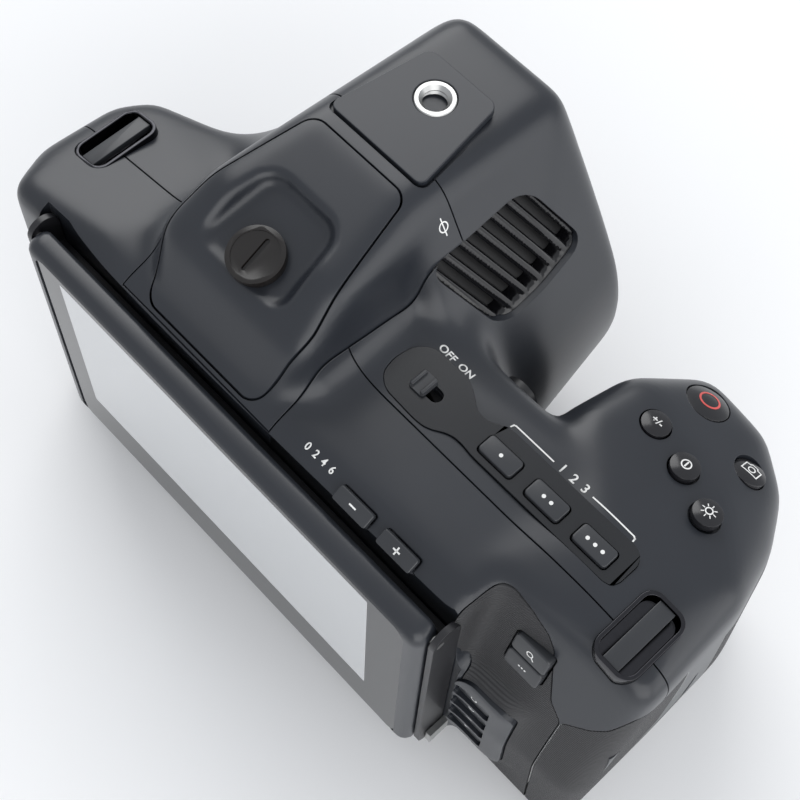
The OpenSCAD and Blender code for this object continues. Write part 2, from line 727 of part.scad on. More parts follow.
// Base plate and tripod insert
module base_plate() color(dark) difference() {
  base_plan(-key_gap * 0.5, 0, plate_z);
  tripod_cut();
}
module tripod_cut() {
  translate([0, 0, -over]) cylinder(d = tripod_d, h = tripod_len + over * 2);
}
module tripod_insert() color(steel) difference() {
  cylinder(d = tripod_d, h = tripod_len);
  translate([0, 0, -over]) cylinder(d = thread_bore, h = tripod_len + over * 2);
}

// Vent grilles in both flanks of the hump
vent_fins = 6;
module vent_grille() color(dark) for (side = [0, 1]) {
  intersection() {
    difference() { hump_solid(wall * 0.25); hump_solid(wall); }
    vent_window(-key_gap * 0.4, side);
    union() {
      difference() { vent_window(0, side); vent_window(-wall * 0.6, side); }
      for (i = [1:vent_fins])
        translate([0, -block_reach * (0.22 + 0.44 * (i - 0.5) / vent_fins), 0]) fin_bar();
      difference() { vent_window(0, side); translate([0, 0, wall * 0.6]) vent_window(over, side); }
    }
  }
}
module fin_bar() multmatrix([[1, 0, 0, 0], [0, 1, vent_lean / (vent_top - vent_low), 0], [0, 0, 1, 0]])
  translate([-block_root_r, -wall * 0.3 - vent_lean * vent_top / (vent_top - vent_low), vent_low - over])
    cube([block_root_r * 2, wall * 0.6, vent_top - vent_low + over * 2]);

// Lens mount
ring_mid = (throat_d + ring_d) / 4;
module lens_mount_ring() color(steel) difference() {
  translate([0, ring_y, lens_h]) rotate([-90, 0, 0]) cylinder(d = ring_d, h = ring_t, $fn = 96);
  translate([0, ring_y - over, lens_h]) rotate([-90, 0, 0])
    cylinder(d = throat_d, h = ring_t + over * 2, $fn = 96);
  ring_holes(ring_screw_d / 2, over);
  translate([-ring_mid, ring_y - over, lens_h]) rotate([-90, 0, 0])
    cylinder(r = lock_r + lock_gap, h = ring_t + over * 2);
}
module ring_holes(r, out) {
  for (i = [0:ring_screws - 1]) rotate_lens(45 + 360 * i / ring_screws)
    translate([ring_mid, ring_y - out, 0]) rotate([-90, 0, 0]) cylinder(r = r, h = ring_t + collar_t + out);
}
module rotate_lens(a) translate([0, 0, lens_h]) rotate([0, a, 0]) children();
module mount_screws() color(steel) difference() {
  ring_holes(ring_screw_d / 2, 0);
  for (i = [0:ring_screws - 1]) rotate_lens(45 + 360 * i / ring_screws)
    translate([ring_mid, ring_y, 0]) rotate([90, 0, 0])
      cylinder(r = ring_screw_d * 0.25, h = ring_screw_d * 0.5, center = true, $fn = 6);
}
lock_r = ring_screw_d * 0.38;
lock_gap = key_gap * 0.15;
lock_travel = ring_screw_d * 0.45;
module lock_pin() color(steel) translate([-ring_mid, ring_y - lock_travel, lens_h]) rotate([-90, 0, 0])
  cylinder(r = lock_r, h = ring_t + collar_t + lock_travel);
release_w = wall * 1.9;
release_h = wall * 4.6;
release_at = [-cos(28) * (ring_d / 2 + release_w * 0.75), block_y,
  lens_h - sin(28) * (ring_d / 2 + release_w * 0.75)];
module release_box(gap, low, high) {
  translate(release_at) rotate([90, -28, 0]) translate([0, 0, -low])
    soft_box(release_w + gap * 2, release_h + gap * 2, low + high, release_w * 0.3);
}
module release_button() color(casing) release_box(0, key_in, lock_travel + key_out);
module front_cuts() {
  release_box(key_gap, wall + over, over * 4);
  ring_holes(ring_screw_d / 2, 0);
  translate([-ring_mid, ring_y, lens_h]) rotate([-90, 0, 0])
    cylinder(r = lock_r + lock_gap, h = ring_t + collar_t + lock_travel + key_gap);
  translate(dial_at) cylinder(r = dial_r + key_gap, h = dial_t + key_gap * 2, center = true);
  translate(front_rec_at) rotate([90, 0, 0]) cylinder(r = front_rec_r + key_gap, h = over * 8, center = true);
  mic_holes(over);
}
contacts_y = block_y + wall;
module lens_contacts() color("#c9a24a") difference() {
  translate([-throat_r * 0.34, contacts_y, lens_h - throat_r - wall * 0.5])
    cube([throat_r * 0.68, wall * 3, wall * 1.6]);
  for (i = [-4:4]) translate([throat_r * (i * 0.075 - 0.0125), contacts_y - over,
    lens_h - throat_r + wall * 0.75])
    cube([throat_r * 0.025, wall * 5, wall]);
  difference() {
    translate([-throat_r, contacts_y - over, 0]) cube([throat_r * 2, wall * 8, lens_h]);
    translate([0, block_y - wall, lens_h]) rotate([-90, 0, 0])
      cylinder(r = throat_r + throat_relief, h = wall * 9, $fn = 96);
  }
}

// Filter slide, sensor and the boards behind it
slide_t = wall * 0.7;
slide_y = flange_y + key_gap;
slide_half_h = throat_r * 0.42;
slide_pitch = throat_r * 0.98;
module filter_slide() color("#3a3f45") difference() {
  translate([-slide_pitch * 0.5, slide_y, lens_h - slide_half_h])
    cube([slide_pitch * 2, slide_t, slide_half_h * 2]);
  for (i = [0, 1]) translate([i * slide_pitch - sensor_w * 0.5, slide_y - over, lens_h - sensor_h * 0.62])
    cube([sensor_w, slide_t * 0.5 + over, sensor_h * 1.24]);
}
post_r = wall;
module image_sensor() color("#2f5d3a") {
  translate([-flange_half, sensor_y, lens_h - flange_half])
    cube([flange_half * 2, wall * 0.6, flange_half * 2]);
  translate([-sensor_w / 2, sensor_y - wall * 0.6, lens_h - sensor_h / 2])
    cube([sensor_w, wall * 0.6, sensor_h]);
  for (i = [-1, 1], j = [-1, 1])
    translate([i * (flange_half - post_r), flange_y, lens_h + j * (flange_half - post_r)])
    rotate([-90, 0, 0]) cylinder(r = post_r, h = sensor_y - flange_y);
}
module sensor_glass() color("#5f7f7a")
  translate([-sensor_w * 0.54, sensor_y - wall * 0.95, lens_h - sensor_h * 0.58])
  cube([sensor_w * 1.08, wall * 0.35, sensor_h * 1.16]);
sink_y = sensor_y + wall * 0.6;
board_y = sink_y + wall * 7;
module heat_sink() color("#a9adb2") difference() {
  translate([-throat_r, sink_y, lens_h - throat_r])
    cube([throat_r * 2, board_y - sink_y, sink_top - lens_h + throat_r]);
  for (i = [-5:5]) translate([i * throat_r * 0.17 - wall * 0.6, sink_y + wall, lens_h - throat_r - over])
    cube([wall * 1.2, board_y - sink_y, sink_top]);
}
sink_top = lens_h + throat_r;
board_t = wall * 0.65;
module main_board() color("#2f5d3a") {
  translate([-grip_reach * 0.64, board_y, wall * 5])
    cube([grip_reach * 0.64 + left_reach * 0.76, board_t, deck_h * 0.76 - wall * 5]);
  translate([-grip_reach * 0.5, board_y + board_t, lens_h * 0.5]) cube([wall * 8, wall * 0.6, wall * 8]);
  translate([left_reach * 0.2, board_y + board_t, lens_h * 0.5]) cube([wall * 9, wall * 0.6, wall * 9]);
}
fan_half = fan_d / 2 + wall * 0.5;
fan_z = sink_top + fan_half;
fan_y = sink_y + wall;
fan_t = wall * 4;
module fan_frame() color(dark) difference() {
  translate([-fan_half, fan_y, sink_top]) cube([fan_half * 2, fan_t, fan_half * 2]);
  translate([0, fan_y - over, fan_z]) rotate([-90, 0, 0]) difference() {
    cylinder(d = fan_d, h = fan_t + over * 2);
    cylinder(d = fan_d * 0.36, h = fan_t * 0.3 + over);
    for (a = [0:2]) rotate(a * 120) translate([0, -wall * 0.4, 0])
      cube([fan_d, wall * 0.8, fan_t * 0.22 + over]);
  }
  translate([0, fan_y - over, fan_z]) rotate([-90, 0, 0]) cylinder(r = shaft_r + lock_gap, h = fan_t);
}
module fan_rotor() color("#3b3e42") translate([0, fan_y, fan_z]) rotate([-90, 0, 0]) {
  cylinder(r = shaft_r, h = fan_t * 0.5);
  translate([0, 0, fan_t * 0.36]) cylinder(d = fan_d * 0.34, h = fan_t * 0.56);
  for (i = [0:fan_blades - 1]) rotate(360 * i / fan_blades)
    translate([fan_d * 0.14, 0, fan_t * 0.66]) rotate([28, 0, 0])
      cube([fan_d * 0.33, wall * 0.4, fan_t * 0.46], center = false);
}

// Cards, ports and their doors
bay_back = battery_y + battery_d / 2 + key_gap + bay_lip;
module card_reader() color("#8d9196") difference() {
  translate([-grip_reach * 0.955, bay_back, card_z[0] + wall])
    cube([grip_reach * 0.24, card_y[1] - bay_back - wall * 1.5, card_z[1] - card_z[0] - wall * 2]);
  for (m = [0, 1]) translate([-grip_reach, bay_back + wall * (1.2 + m * 2.6), card_z[0] + wall * 3])
    cube([grip_reach * 0.2, wall * 1.3, card_z[1] - card_z[0] - wall * 6]);
}
module card_door() color(casing) difference() {
  intersection() { grip_form(0); card_window(-key_gap); }
  grip_form(wall);
}
module port_door(z) difference() {
  intersection() { core_form(0); port_window(z, 0); }
  core_form(wall);
}
module port_door_upper() color(rubber) port_door(port_upper_z);
module port_door_lower() color(rubber) port_door(port_lower_z);
module port_jacks() color("#8d9196") difference() {
  translate([left_reach * 0.74, board_y + board_t, port_lower_z[0] + wall])
    cube([left_reach * 0.1, port_y[1] - board_y - board_t - wall,
      port_upper_z[1] - port_lower_z[0] - wall * 2]);
  for (i = [0:3]) translate([left_reach * 0.78, port_y[1] * 0.5,
    port_lower_z[0] + (port_upper_z[1] - port_lower_z[0]) * (0.14 + 0.24 * i)])
    rotate([0, 90, 0]) cylinder(r = wall * 1.6, h = left_reach);
}

// Battery, its door and latch
module battery() color("#2c2e33") difference() {
  translate([battery_x - battery_w / 2, battery_y - battery_d / 2, battery_z])
    cube([battery_w, battery_d, battery_l]);
  for (m = [-1, 1]) translate([battery_x + m * battery_w * 0.5, battery_y, battery_z + battery_l])
    cube([wall, battery_d * 0.8, wall * 2], center = true);
}
module battery_door() color(casing) difference() {
  door_plan(0, 0, wall);
  translate([battery_x, battery_y - battery_d * 0.3, -over]) latch_slot(key_gap, wall * 0.6 + over);
}
latch_travel = wall * 1.6;
module latch_slot(gap, h) {
  translate([-wall * 2 - gap, -wall * 1.2 - gap, 0])
    cube([wall * 4 + latch_travel + gap * 2, wall * 2.4 + gap * 2, h]);
}
module battery_latch() color(steel)
  translate([battery_x - wall * 2, battery_y - battery_d * 0.3 - wall * 1.2, key_gap * 0.5])
    cube([wall * 4, wall * 2.4, wall * 0.6 - key_gap]);

// Dial and record key on the front, microphones
dial_r = grip_r * 0.85;
dial_t = wall * 1.8;
dial_at = [-grip_reach * 0.71, dial_r * 0.75 - grip_nose * 0.955, deck_h * 0.62];
module front_dial() color(dark) translate(dial_at) difference() {
  cylinder(r = dial_r, h = dial_t, center = true);
  for (a = [0:23]) rotate(a * 15) translate([dial_r, 0, 0])
    cylinder(r = dial_r * 0.07, h = dial_t + over, center = true, $fn = 8);
}
front_rec_r = record_r * 0.85;
front_rec_at = [-grip_reach * 0.43, -front_reach * 1.12, deck_h * 0.875];
module front_record_button() color(casing) translate(front_rec_at) rotate([90, 0, 0])
  translate([0, 0, -wall]) cylinder(r = front_rec_r, h = wall + key_out * 1.6);
mic_at = [left_reach * 0.72, -front_reach * 0.93, deck_h * 0.72];
module mic_holes(out) {
  for (i = [0, 1]) translate([mic_at[0], mic_at[1], mic_at[2] - i * wall * 5]) rotate([90, 0, 0])
    cylinder(r = wall * 1.4, h = out * 8, center = true);
}
module microphones() color(dark) for (i = [0, 1])
  translate([mic_at[0], mic_at[1] + wall * 0.6, mic_at[2] - i * wall * 5]) rotate([90, 0, 0]) difference() {
    cylinder(r = wall * 1.4, h = wall * 0.6);
    for (a = [0:5]) rotate(a * 60) translate([wall * 0.8, 0, wall * 0.3])
      cylinder(r = wall * 0.2, h = wall, $fn = 12);
  }

// Casing screws in the base
screw_r = wall * 0.9;
screw_places = [[0.6, -0.55], [0.8, 0.6], [-0.45, 0.6], [-0.5, -0.6]];
module screw_holes() {
  for (p = screw_places) translate([p[0] * (p[0] > 0 ? left_reach : grip_reach), p[1] * (p[1] > 0 ? rear_reach
    : front_reach), -over]) cylinder(r = screw_r, h = wall * 0.7 + over);
}
module body_screws() color(steel) for (p = screw_places)
  translate([p[0] * (p[0] > 0 ? left_reach : grip_reach), p[1] * (p[1] > 0 ? rear_reach : front_reach),
    0]) difference() {
    cylinder(r = screw_r, h = wall * 0.7);
    translate([0, 0, -over]) cylinder(r = screw_r * 0.45, h = wall * 0.35 + over, $fn = 6);
  }

// Screen
screen_r = screen_t * 0.5;
screen_mid = (screen_top + screen_low) / 2;
module screen_box() {
  translate([-screen_x, screen_y, screen_mid]) hull() {
    for (i = [-1, 1], j = [-1, 1])
      translate([i * (screen_w / 2 - screen_r), 0, j * (screen_h / 2 - screen_r)]) rotate([-90, 0, 0]) {
        cylinder(r = screen_r * 0.8, h = screen_t * 0.3, $fn = 32);
        translate([0, 0, screen_r * 0.2]) cylinder(r = screen_r, h = screen_t * 0.3, $fn = 32);
        translate([0, 0, screen_t - screen_r]) sphere(screen_r, $fn = 32);
      }
  }
}
glass_t = wall * 0.45;
glass_w = screen_w * 0.935;
glass_h = screen_h * 0.955;
glass_sink = key_gap;
module glass_plan(gap, low, high) {
  translate([-screen_x, screen_y + screen_t - low, screen_mid - screen_h * 0.006]) rotate([-90, 0, 0])
    soft_box(glass_w + gap * 2, glass_h + gap * 2, low + high, screen_r);
}
pin_len = arm_t * 4;
module screen_housing() color(casing) difference() {
  screen_box();
  glass_plan(key_gap * 0.5, glass_t + glass_sink, over);
  for (m = [-1, 1]) translate([-screen_x + m * screen_w / 2, upper_y, upper_z]) rotate([0, 90, 0])
    cylinder(r = pin_r + lock_gap, h = pin_len * 2, center = true);
}
module screen_glass() color("#8f9499") glass_plan(0, glass_t + glass_sink, -glass_sink);

arm_in = screen_w / 2 + key_gap * 1.5;
arm_out = arm_in + arm_t;
module screen_bracket() color(dark) difference() {
  union() {
    translate([-screen_x - arm_out, pocket_y + key_gap, lower_z])
      cube([arm_out * 2, bracket_t, upper_z - upper_hinge_down * 2 - lower_z]);
    for (m = [-1, 1]) translate([-screen_x + m * (arm_in + arm_t / 2), arm_y, 0]) {
      translate([-arm_t / 2, -arm_d / 2, lower_z]) cube([arm_t, arm_d, upper_z - lower_z]);
      for (z = [lower_z, upper_z]) translate([0, 0, z]) rotate([0, 90, 0])
        cylinder(r = arm_d / 2, h = arm_t, center = true);
    }
  }
  for (m = [-1, 1]) translate([-screen_x + m * (arm_in + arm_t / 2), 0, 0]) {
    translate([0, upper_y, upper_z]) rotate([0, 90, 0]) cylinder(r = pin_r, h = arm_t * 2, center = true);
    translate([0, lower_y, lower_z]) rotate([0, 90, 0])
      cylinder(r = pin_r + lock_gap, h = arm_t * 2, center = true);
  }
}
module upper_hinges() color(steel) for (m = [-1, 1])
  translate([-screen_x + m * (arm_out - pin_len / 2), upper_y, upper_z]) rotate([0, 90, 0])
    cylinder(r = pin_r, h = pin_len, center = true);

// Feet on the pocket floor that carry the bracket, each with its pin
foot_t = arm_t;
module lower_hinges() color(steel) for (m = [0, 1]) translate([-screen_x, 0, 0]) mirror([m, 0, 0]) {
  translate([arm_in, lower_y, lower_z]) rotate([0, 90, 0])
    cylinder(r = pin_r, h = arm_t + key_gap + foot_t * 0.5);
  translate([arm_out + key_gap, pocket_y, lower_z - arm_d * 0.36])
    cube([foot_t, lower_y - pocket_y + pin_r * 1.8, arm_d * 0.72]);
}

front_housing();
rear_housing();
hump_housing();
hump_cover();
socket_plug();
accessory_plate();
top_insert();
base_plate();
tripod_insert();
key_plate();
thumb_rubber();
grip_rubber();
vent_grille();
lens_mount_ring();
mount_screws();
lens_contacts();
release_button();
lock_pin();
image_sensor();
sensor_glass();
filter_slide();
main_board();
heat_sink();
fan_frame();
fan_rotor();
card_reader();
card_door();
battery();
battery_door();
battery_latch();
port_door_upper();
port_door_lower();
port_jacks();
screen_bracket();
screen_housing();
screen_glass();
lower_hinges();
upper_hinges();
function_key_1();
function_key_2();
function_key_3();
iso_key();
shutter_key();
balance_key();
record_button();
still_button();
power_switch();
nd_minus_key();
nd_plus_key();
zoom_key();
rate_key();
focus_key();
iris_key();
menu_key();
play_key();
front_dial();
front_record_button();
strap_lugs();
microphones();
body_screws();
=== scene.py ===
# Digital cinema camera. Every number of a shape is in millimetres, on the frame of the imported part:
# X toward the operator's left hand, Y toward the operator, Z up, from the mouth of the tripod thread.
import math
import bmesh
import bpy
import numpy as np
from mathutils import Euler, Matrix, Vector


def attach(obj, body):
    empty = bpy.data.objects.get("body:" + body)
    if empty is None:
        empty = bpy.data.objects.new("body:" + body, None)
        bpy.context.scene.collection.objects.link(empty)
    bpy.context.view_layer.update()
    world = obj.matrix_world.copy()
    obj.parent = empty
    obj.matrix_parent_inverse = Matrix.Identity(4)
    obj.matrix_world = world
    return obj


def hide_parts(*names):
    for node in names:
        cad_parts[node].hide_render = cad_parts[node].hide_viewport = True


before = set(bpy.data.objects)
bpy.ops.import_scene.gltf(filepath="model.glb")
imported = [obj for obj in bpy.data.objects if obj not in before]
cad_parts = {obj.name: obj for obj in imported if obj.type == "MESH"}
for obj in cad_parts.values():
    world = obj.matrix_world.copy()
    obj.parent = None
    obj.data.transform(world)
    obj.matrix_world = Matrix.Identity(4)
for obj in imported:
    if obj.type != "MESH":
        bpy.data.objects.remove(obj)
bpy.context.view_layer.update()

# --------------------------------------------------
# The moulded casings: front, rear and hump. One satin polycarbonate form, split along a seam behind
# the lens block and round the hump. Its broad hollows, where hump, block, deck and grip run into
# each other, are no bevel between flat faces: so the form is worked out as a distance field from
# the same corners as the solids, smoothed, and given a skin. The skin is then cut like any piece.
# --------------------------------------------------
mm = 0.001
WALL = 2.4
DECK = 97.5
LENS_Z = 55.0
THROAT_R, RING_MID = 27.6, 29.75
core_corners = [
    (69.3, 25.9, 90.2, 5), (63.7, 34.5, 92.6, 3), (69.0, -2.8, 88.7, 5), (65.1, -8.7, 88.7, 5),
    (38.5, -17.5, 90.7, 5), (38.5, 29.7, 96.5, 1.5), (24.5, 10.4, 97.5, 5), (-80.0, 34.5, 94.6, 1),
    (24.5, 34.5, 94.6, 1), (-80.0, 29.7, 97.5, 1.5), (-80.0, -15.4, 95.4, 5), (67.9, 25.9, 0, 3),
    (67.9, -2.8, 0, 3), (38.5, -16.1, 0, 3), (63.0, 34.5, 3.9, 3), (-80.0, 34.5, 3.9, 3),
    (-80.0, -14.0, 0, 3)]
grip_corners = [
    (-85.4, -54.0, 84.0, 8), (-97.9, -52.8, 83.6, 8), (-105.9, -46.8, 84.0, 8), (-112.0, -36.0, 85.8, 8),
    (-76.1, -27.0, 94.2, 8), (-78.0, -41.1, 91.1, 8), (-106.0, -32.4, 91.0, 8), (-115.8, -21.0, 92.1, 8),
    (-84.2, -60.0, 48.8, 8), (-98.3, -58.8, 48.8, 8), (-110.0, -51.6, 48.8, 8), (-117.0, -24.0, 58.5, 8),
    (-76.1, -30.0, 48.8, 8), (-69.0, -51.0, 0, 3), (-98.3, -55.2, 0, 3), (-105.9, -51.6, 0, 3),
    (-113.5, -39.6, 0, 3), (-115.2, -12.0, 0, 3), (-65.5, -18.0, 0, 3),
    (-117.0, 17.3, 94.1, 3.5), (-77.2, 21.4, 97.5, 1.5), (-95.9, 17.3, 97.5, 3.5), (-110.0, 0, 96.0, 5),
    (-93.6, 0, 97.5, 5), (-117.0, 29.0, 50.7, 5), (-81.9, 30.4, 53.6, 5), (-115.2, 25.9, 0, 3),
    (-70.2, 25.9, 0, 3)]
hump_corners = [(side * x, y, z, 5) for side in (-1, 1) for x, y, z in (
    (18.0, -61.8, 118.9), (18.0, -19.5, 122.8), (21.6, 12.8, 119.6), (23.4, 23.0, 112.4),
    (19.2, 32.0, 95.2), (25.2, 19.8, 86.0), (26.4, -13.0, 73.7))]


def corner_balls(corners):
    """A ball in each rounded corner: its middle and its radius."""
    balls = []
    for x, y, z, r in corners:
        low = z < DECK / 4
        balls.append((x - math.copysign(r, x) if x else 0, y - math.copysign(r, y) if y else 0,
                      z + r if low else z - r, r))
    return balls


def hull_planes(balls, discs=()):
    """The flat faces of the tight skin round some balls and discs, as rows (nx, ny, nz, -distance)."""
    bm = bmesh.new()
    for x, y, z, r in balls:
        bmesh.ops.create_icosphere(bm, subdivisions=3, radius=r, matrix=Matrix.Translation((x, y, z)))
    for x, y, z, r in discs:
        bmesh.ops.create_circle(bm, cap_ends=False, segments=72, radius=r,
                                matrix=Matrix.Translation((x, y, z)) @ Matrix.Rotation(math.pi / 2, 4, "X"))
    for edge in list(bm.edges):
        bm.edges.remove(edge)
    hull = bmesh.ops.convex_hull(bm, input=bm.verts)["geom"]
    faces = [g for g in hull if isinstance(g, bmesh.types.BMFace)]
    middle = sum((Vector(v.co) for v in bm.verts), Vector()) / len(bm.verts)
    rows = []
    for face in faces:
        if face.calc_area() < 1e-4:
            continue
        n = face.normal.copy()
        d = n.dot(face.verts[0].co)
        if n.dot(middle) > d:
            n, d = -n, -d
        rows.append((n.x, n.y, n.z, -d))
    bm.free()
    rows = np.array(rows, np.float32)
    return rows[np.unique(np.round(rows, 3), axis=0, return_index=True)[1]]


def grid_points(low, high, step):
    axes = [np.arange(a, b + step, step, dtype=np.float32) for a, b in zip(low, high)]
    return axes, np.stack([g.ravel() for g in np.meshgrid(*axes, indexing="ij")] + [
        np.ones(len(axes[0]) * len(axes[1]) * len(axes[2]), np.float32)])


def hull_field(planes, points, shape):
    out = np.full(points.shape[1], -1e9, np.float32)
    for start in range(0, len(planes), 64):
        np.maximum(out, (planes[start:start + 64] @ points).max(0), out=out)
    return out.reshape(shape)


def soft_min(a, b, k):
    return np.minimum(a, b) - np.maximum(k - np.abs(a - b), 0) ** 2 / (4 * np.maximum(k, 1e-6))


def blur(field, times):
    for axis in (0, 1, 2):
        for _ in range(times):
            padded = np.pad(field, [(1, 1) if a == axis else (0, 0) for a in range(3)], mode="edge")
            n = field.shape[axis]
            part = lambda i: np.take(padded, range(i, i + n), axis)
            field = (part(0) + 2 * part(1) + part(2)) / 4
    return field


def finer(field):
    """Halves the spacing of a field, smoothly."""
    for axis in (0, 1, 2):
        field = np.moveaxis(field, axis, 0)
        inner = (field[:-2] + 6 * field[1:-1] + field[2:]) / 8
        fine = np.empty((2 * field.shape[0] - 1,) + field.shape[1:], np.float32)
        fine[0], fine[-1] = field[0], field[-1]
        fine[2:-2:2] = inner
        fine[1::2] = (field[:-1] + field[1:]) / 2
        field = np.moveaxis(fine, 0, axis)
    return field


def linked(name, mesh):
    piece = bpy.data.objects.new(name, mesh)
    bpy.context.scene.collection.objects.link(piece)
    return piece


def from_bmesh(name, bm):
    mesh = bpy.data.meshes.new(name)
    bm.to_mesh(mesh)
    bm.free()
    return linked(name, mesh)


def new_piece(name, verts, faces):
    mesh = bpy.data.meshes.new(name)
    mesh.from_pydata(verts, [], faces)
    mesh.validate()
    return linked(name, mesh)


def skin(name, field, low, step, level=0.0):
    """A closed mesh where the field passes the level: one point in each cell that it crosses."""
    inside = field < level
    corners = [(i, j, k) for i in (0, 1) for j in (0, 1) for k in (0, 1)]
    cut = tuple(slice(0, n - 1) for n in field.shape)
    count = sum(inside[tuple(slice(c, c + n - 1) for c, n in zip(corner, field.shape))].astype(np.int8)
                for corner in corners)
    cells = np.argwhere((count > 0) & (count < 8))
    values = np.stack([field[tuple((cells + corner).T)] for corner in corners], 1) - level
    total = np.zeros((len(cells), 3))
    crossings = np.zeros(len(cells))
    for a in range(8):
        for b in range(a + 1, 8):
            ca, cb = np.array(corners[a], float), np.array(corners[b], float)
            if abs(ca - cb).sum() != 1:
                continue
            va, vb = values[:, a], values[:, b]
            crossed = (va < 0) != (vb < 0)
            share = np.where(crossed, va / np.where(crossed, va - vb, 1), 0)
            total += np.where(crossed[:, None], ca + share[:, None] * (cb - ca), 0)
            crossings += crossed
    verts = np.array(low) + step * (cells + total / crossings[:, None])
    number = np.full(field.shape, -1, np.int64)
    number[tuple(cells.T)] = np.arange(len(cells))
    faces = []
    for axis in (0, 1, 2):
        u, v = [(1, 2), (2, 0), (0, 1)][axis]
        first, second = [slice(1, -1)] * 3, [slice(1, -1)] * 3
        first[axis], second[axis] = slice(0, -1), slice(1, None)
        edge = np.argwhere(inside[tuple(first)] != inside[tuple(second)])
        offset = np.ones(3, int)
        offset[axis] = 0
        at = edge + offset
        flip = inside[tuple(at.T)]
        step_u, step_v = np.eye(3, dtype=int)[u], np.eye(3, dtype=int)[v]
        ring = [number[tuple((at - s).T)] for s in (step_u + step_v, step_v, step_u * 0, step_u)]
        quads = np.stack(ring, 1)
        quads[~flip] = quads[~flip][:, ::-1]
        faces.append(quads)
    return new_piece(name, (verts * mm).tolist(), np.concatenate(faces).tolist())


low, high, STEP = (-124, -72, -9), (76, 42, 130), 1.8
axes, points = grid_points(low, high, STEP)
shape = tuple(len(a) for a in axes)
y_at, z_at = points[1].reshape(shape), points[2].reshape(shape)
core = hull_field(hull_planes(corner_balls(core_corners)), points, shape)
grip = hull_field(hull_planes(corner_balls(grip_corners)), points, shape)
hump = hull_field(hull_planes(corner_balls(hump_corners)), points, shape)
block = hull_field(hull_planes(
    corner_balls([(side * 18, y, z, 5) for side in (-1, 1)
                  for y, z in ((-65, 108.7), (-61.8, 118.9), (-19.5, 122.8))]),
    [(0, -65, LENS_Z, 40.5), (0, -63, LENS_Z, 42.5), (0, -58, LENS_Z, 42.5),
     (0, -32.5, LENS_Z, 47.5), (0, -13, LENS_Z, 47.5)]), points, shape)
hollow = 10.0 * np.clip((30 - y_at) / 10, 0, 1)
form = soft_min(np.minimum(core, grip), np.minimum(hump, block), hollow)
key_block = np.maximum(np.maximum(np.abs(points[0].reshape(shape) + 88.0) - 9.0,
                                  np.abs(z_at - 45.5) - 20.0), np.abs(y_at - 22.0) - 9.2)
form = soft_min(form, key_block, 3.0)
form = np.maximum(blur(form, 2), 0.05 - z_at)
outside = skin("outside", finer(form), low, STEP / 2)
inside = skin("inside", form, low, STEP, -WALL)


def only(piece):
    """Selects one piece, and nothing else."""
    bpy.ops.object.select_all(action="DESELECT")
    piece.select_set(True)
    bpy.context.view_layer.objects.active = piece


def outward(piece):
    """Turns every face of a closed piece outward."""
    only(piece)
    bpy.ops.object.mode_set(mode="EDIT")
    bpy.ops.mesh.select_all(action="SELECT")
    bpy.ops.mesh.normals_make_consistent(inside=False)
    bpy.ops.object.mode_set(mode="OBJECT")
    return piece


def copy_of(piece, name):
    return linked(name, piece.data.copy())


def drop(*pieces):
    for piece in pieces:
        bpy.data.objects.remove(piece)


def carve(piece, cutter, operation="DIFFERENCE", solver="MANIFOLD", keep=False):
    only(piece)
    cut = piece.modifiers.new("cut", "BOOLEAN")
    cut.object, cut.operation, cut.solver = cutter, operation, solver
    bpy.ops.object.modifier_apply(modifier=cut.name)
    if not keep:
        drop(cutter)
    return piece


def joined(name, pieces):
    bpy.ops.object.select_all(action="DESELECT")
    for piece in pieces:
        piece.select_set(True)
    bpy.context.view_layer.objects.active = pieces[0]
    if len(pieces) > 1:
        bpy.ops.object.join()
    pieces[0].name = name
    return pieces[0]


def place(at=(0, 0, 0), turn=(0, 0, 0)):
    """A place in millimetres, with turns about X, Y and Z in degrees."""
    return Matrix.Translation(Vector(at) * mm) @ Euler([math.radians(a) for a in turn]).to_matrix().to_4x4()


def soft_block(name, w, d, low_z, high_z, r, where=Matrix.Identity(4), segments=5):
    """A block with rounded upright edges."""
    corners = [(-w / 2, -d / 2), (w / 2, -d / 2), (w / 2, d / 2), (-w / 2, d / 2)]
    return slab(name, corners, low_z, high_z, r, where, segments)


def rod(name, r, low_z, high_z, where=Matrix.Identity(4), sides=64, tip=None):
    """A round bar or a taper along its own Z."""
    bpy.ops.object.select_all(action="DESELECT")
    if tip is None:
        bpy.ops.mesh.primitive_cylinder_add(vertices=sides, radius=r * mm, depth=(high_z - low_z) * mm)
    else:
        bpy.ops.mesh.primitive_cone_add(vertices=sides, radius1=r * mm, radius2=tip * mm,
                                        depth=(high_z - low_z) * mm)
    piece = bpy.context.object
    piece.name = name
    piece.data.transform(where @ Matrix.Translation((0, 0, (low_z + high_z) / 2 * mm)))
    return piece


def dome(piece, r, top, rise, where):
    """Rounds the top of a round key to a shallow dome."""
    radius = (r * r + rise * rise) / (2 * rise)
    bpy.ops.object.select_all(action="DESELECT")
    bpy.ops.mesh.primitive_uv_sphere_add(segments=128, ring_count=256, radius=radius * mm)
    ball = bpy.context.object
    ball.data.transform(where @ Matrix.Translation((0, 0, (top - radius) * mm)))
    return carve(piece, ball, "INTERSECT")


def block_from(name, low_at, high_at, r=0, segments=5):
    """A block between two corners, its upright edges rounded."""
    a, b = Vector(low_at), Vector(high_at)
    mid = (a + b) / 2
    return soft_block(name, b.x - a.x, b.y - a.y, a.z, b.z, r, place((mid.x, mid.y, 0)), segments)


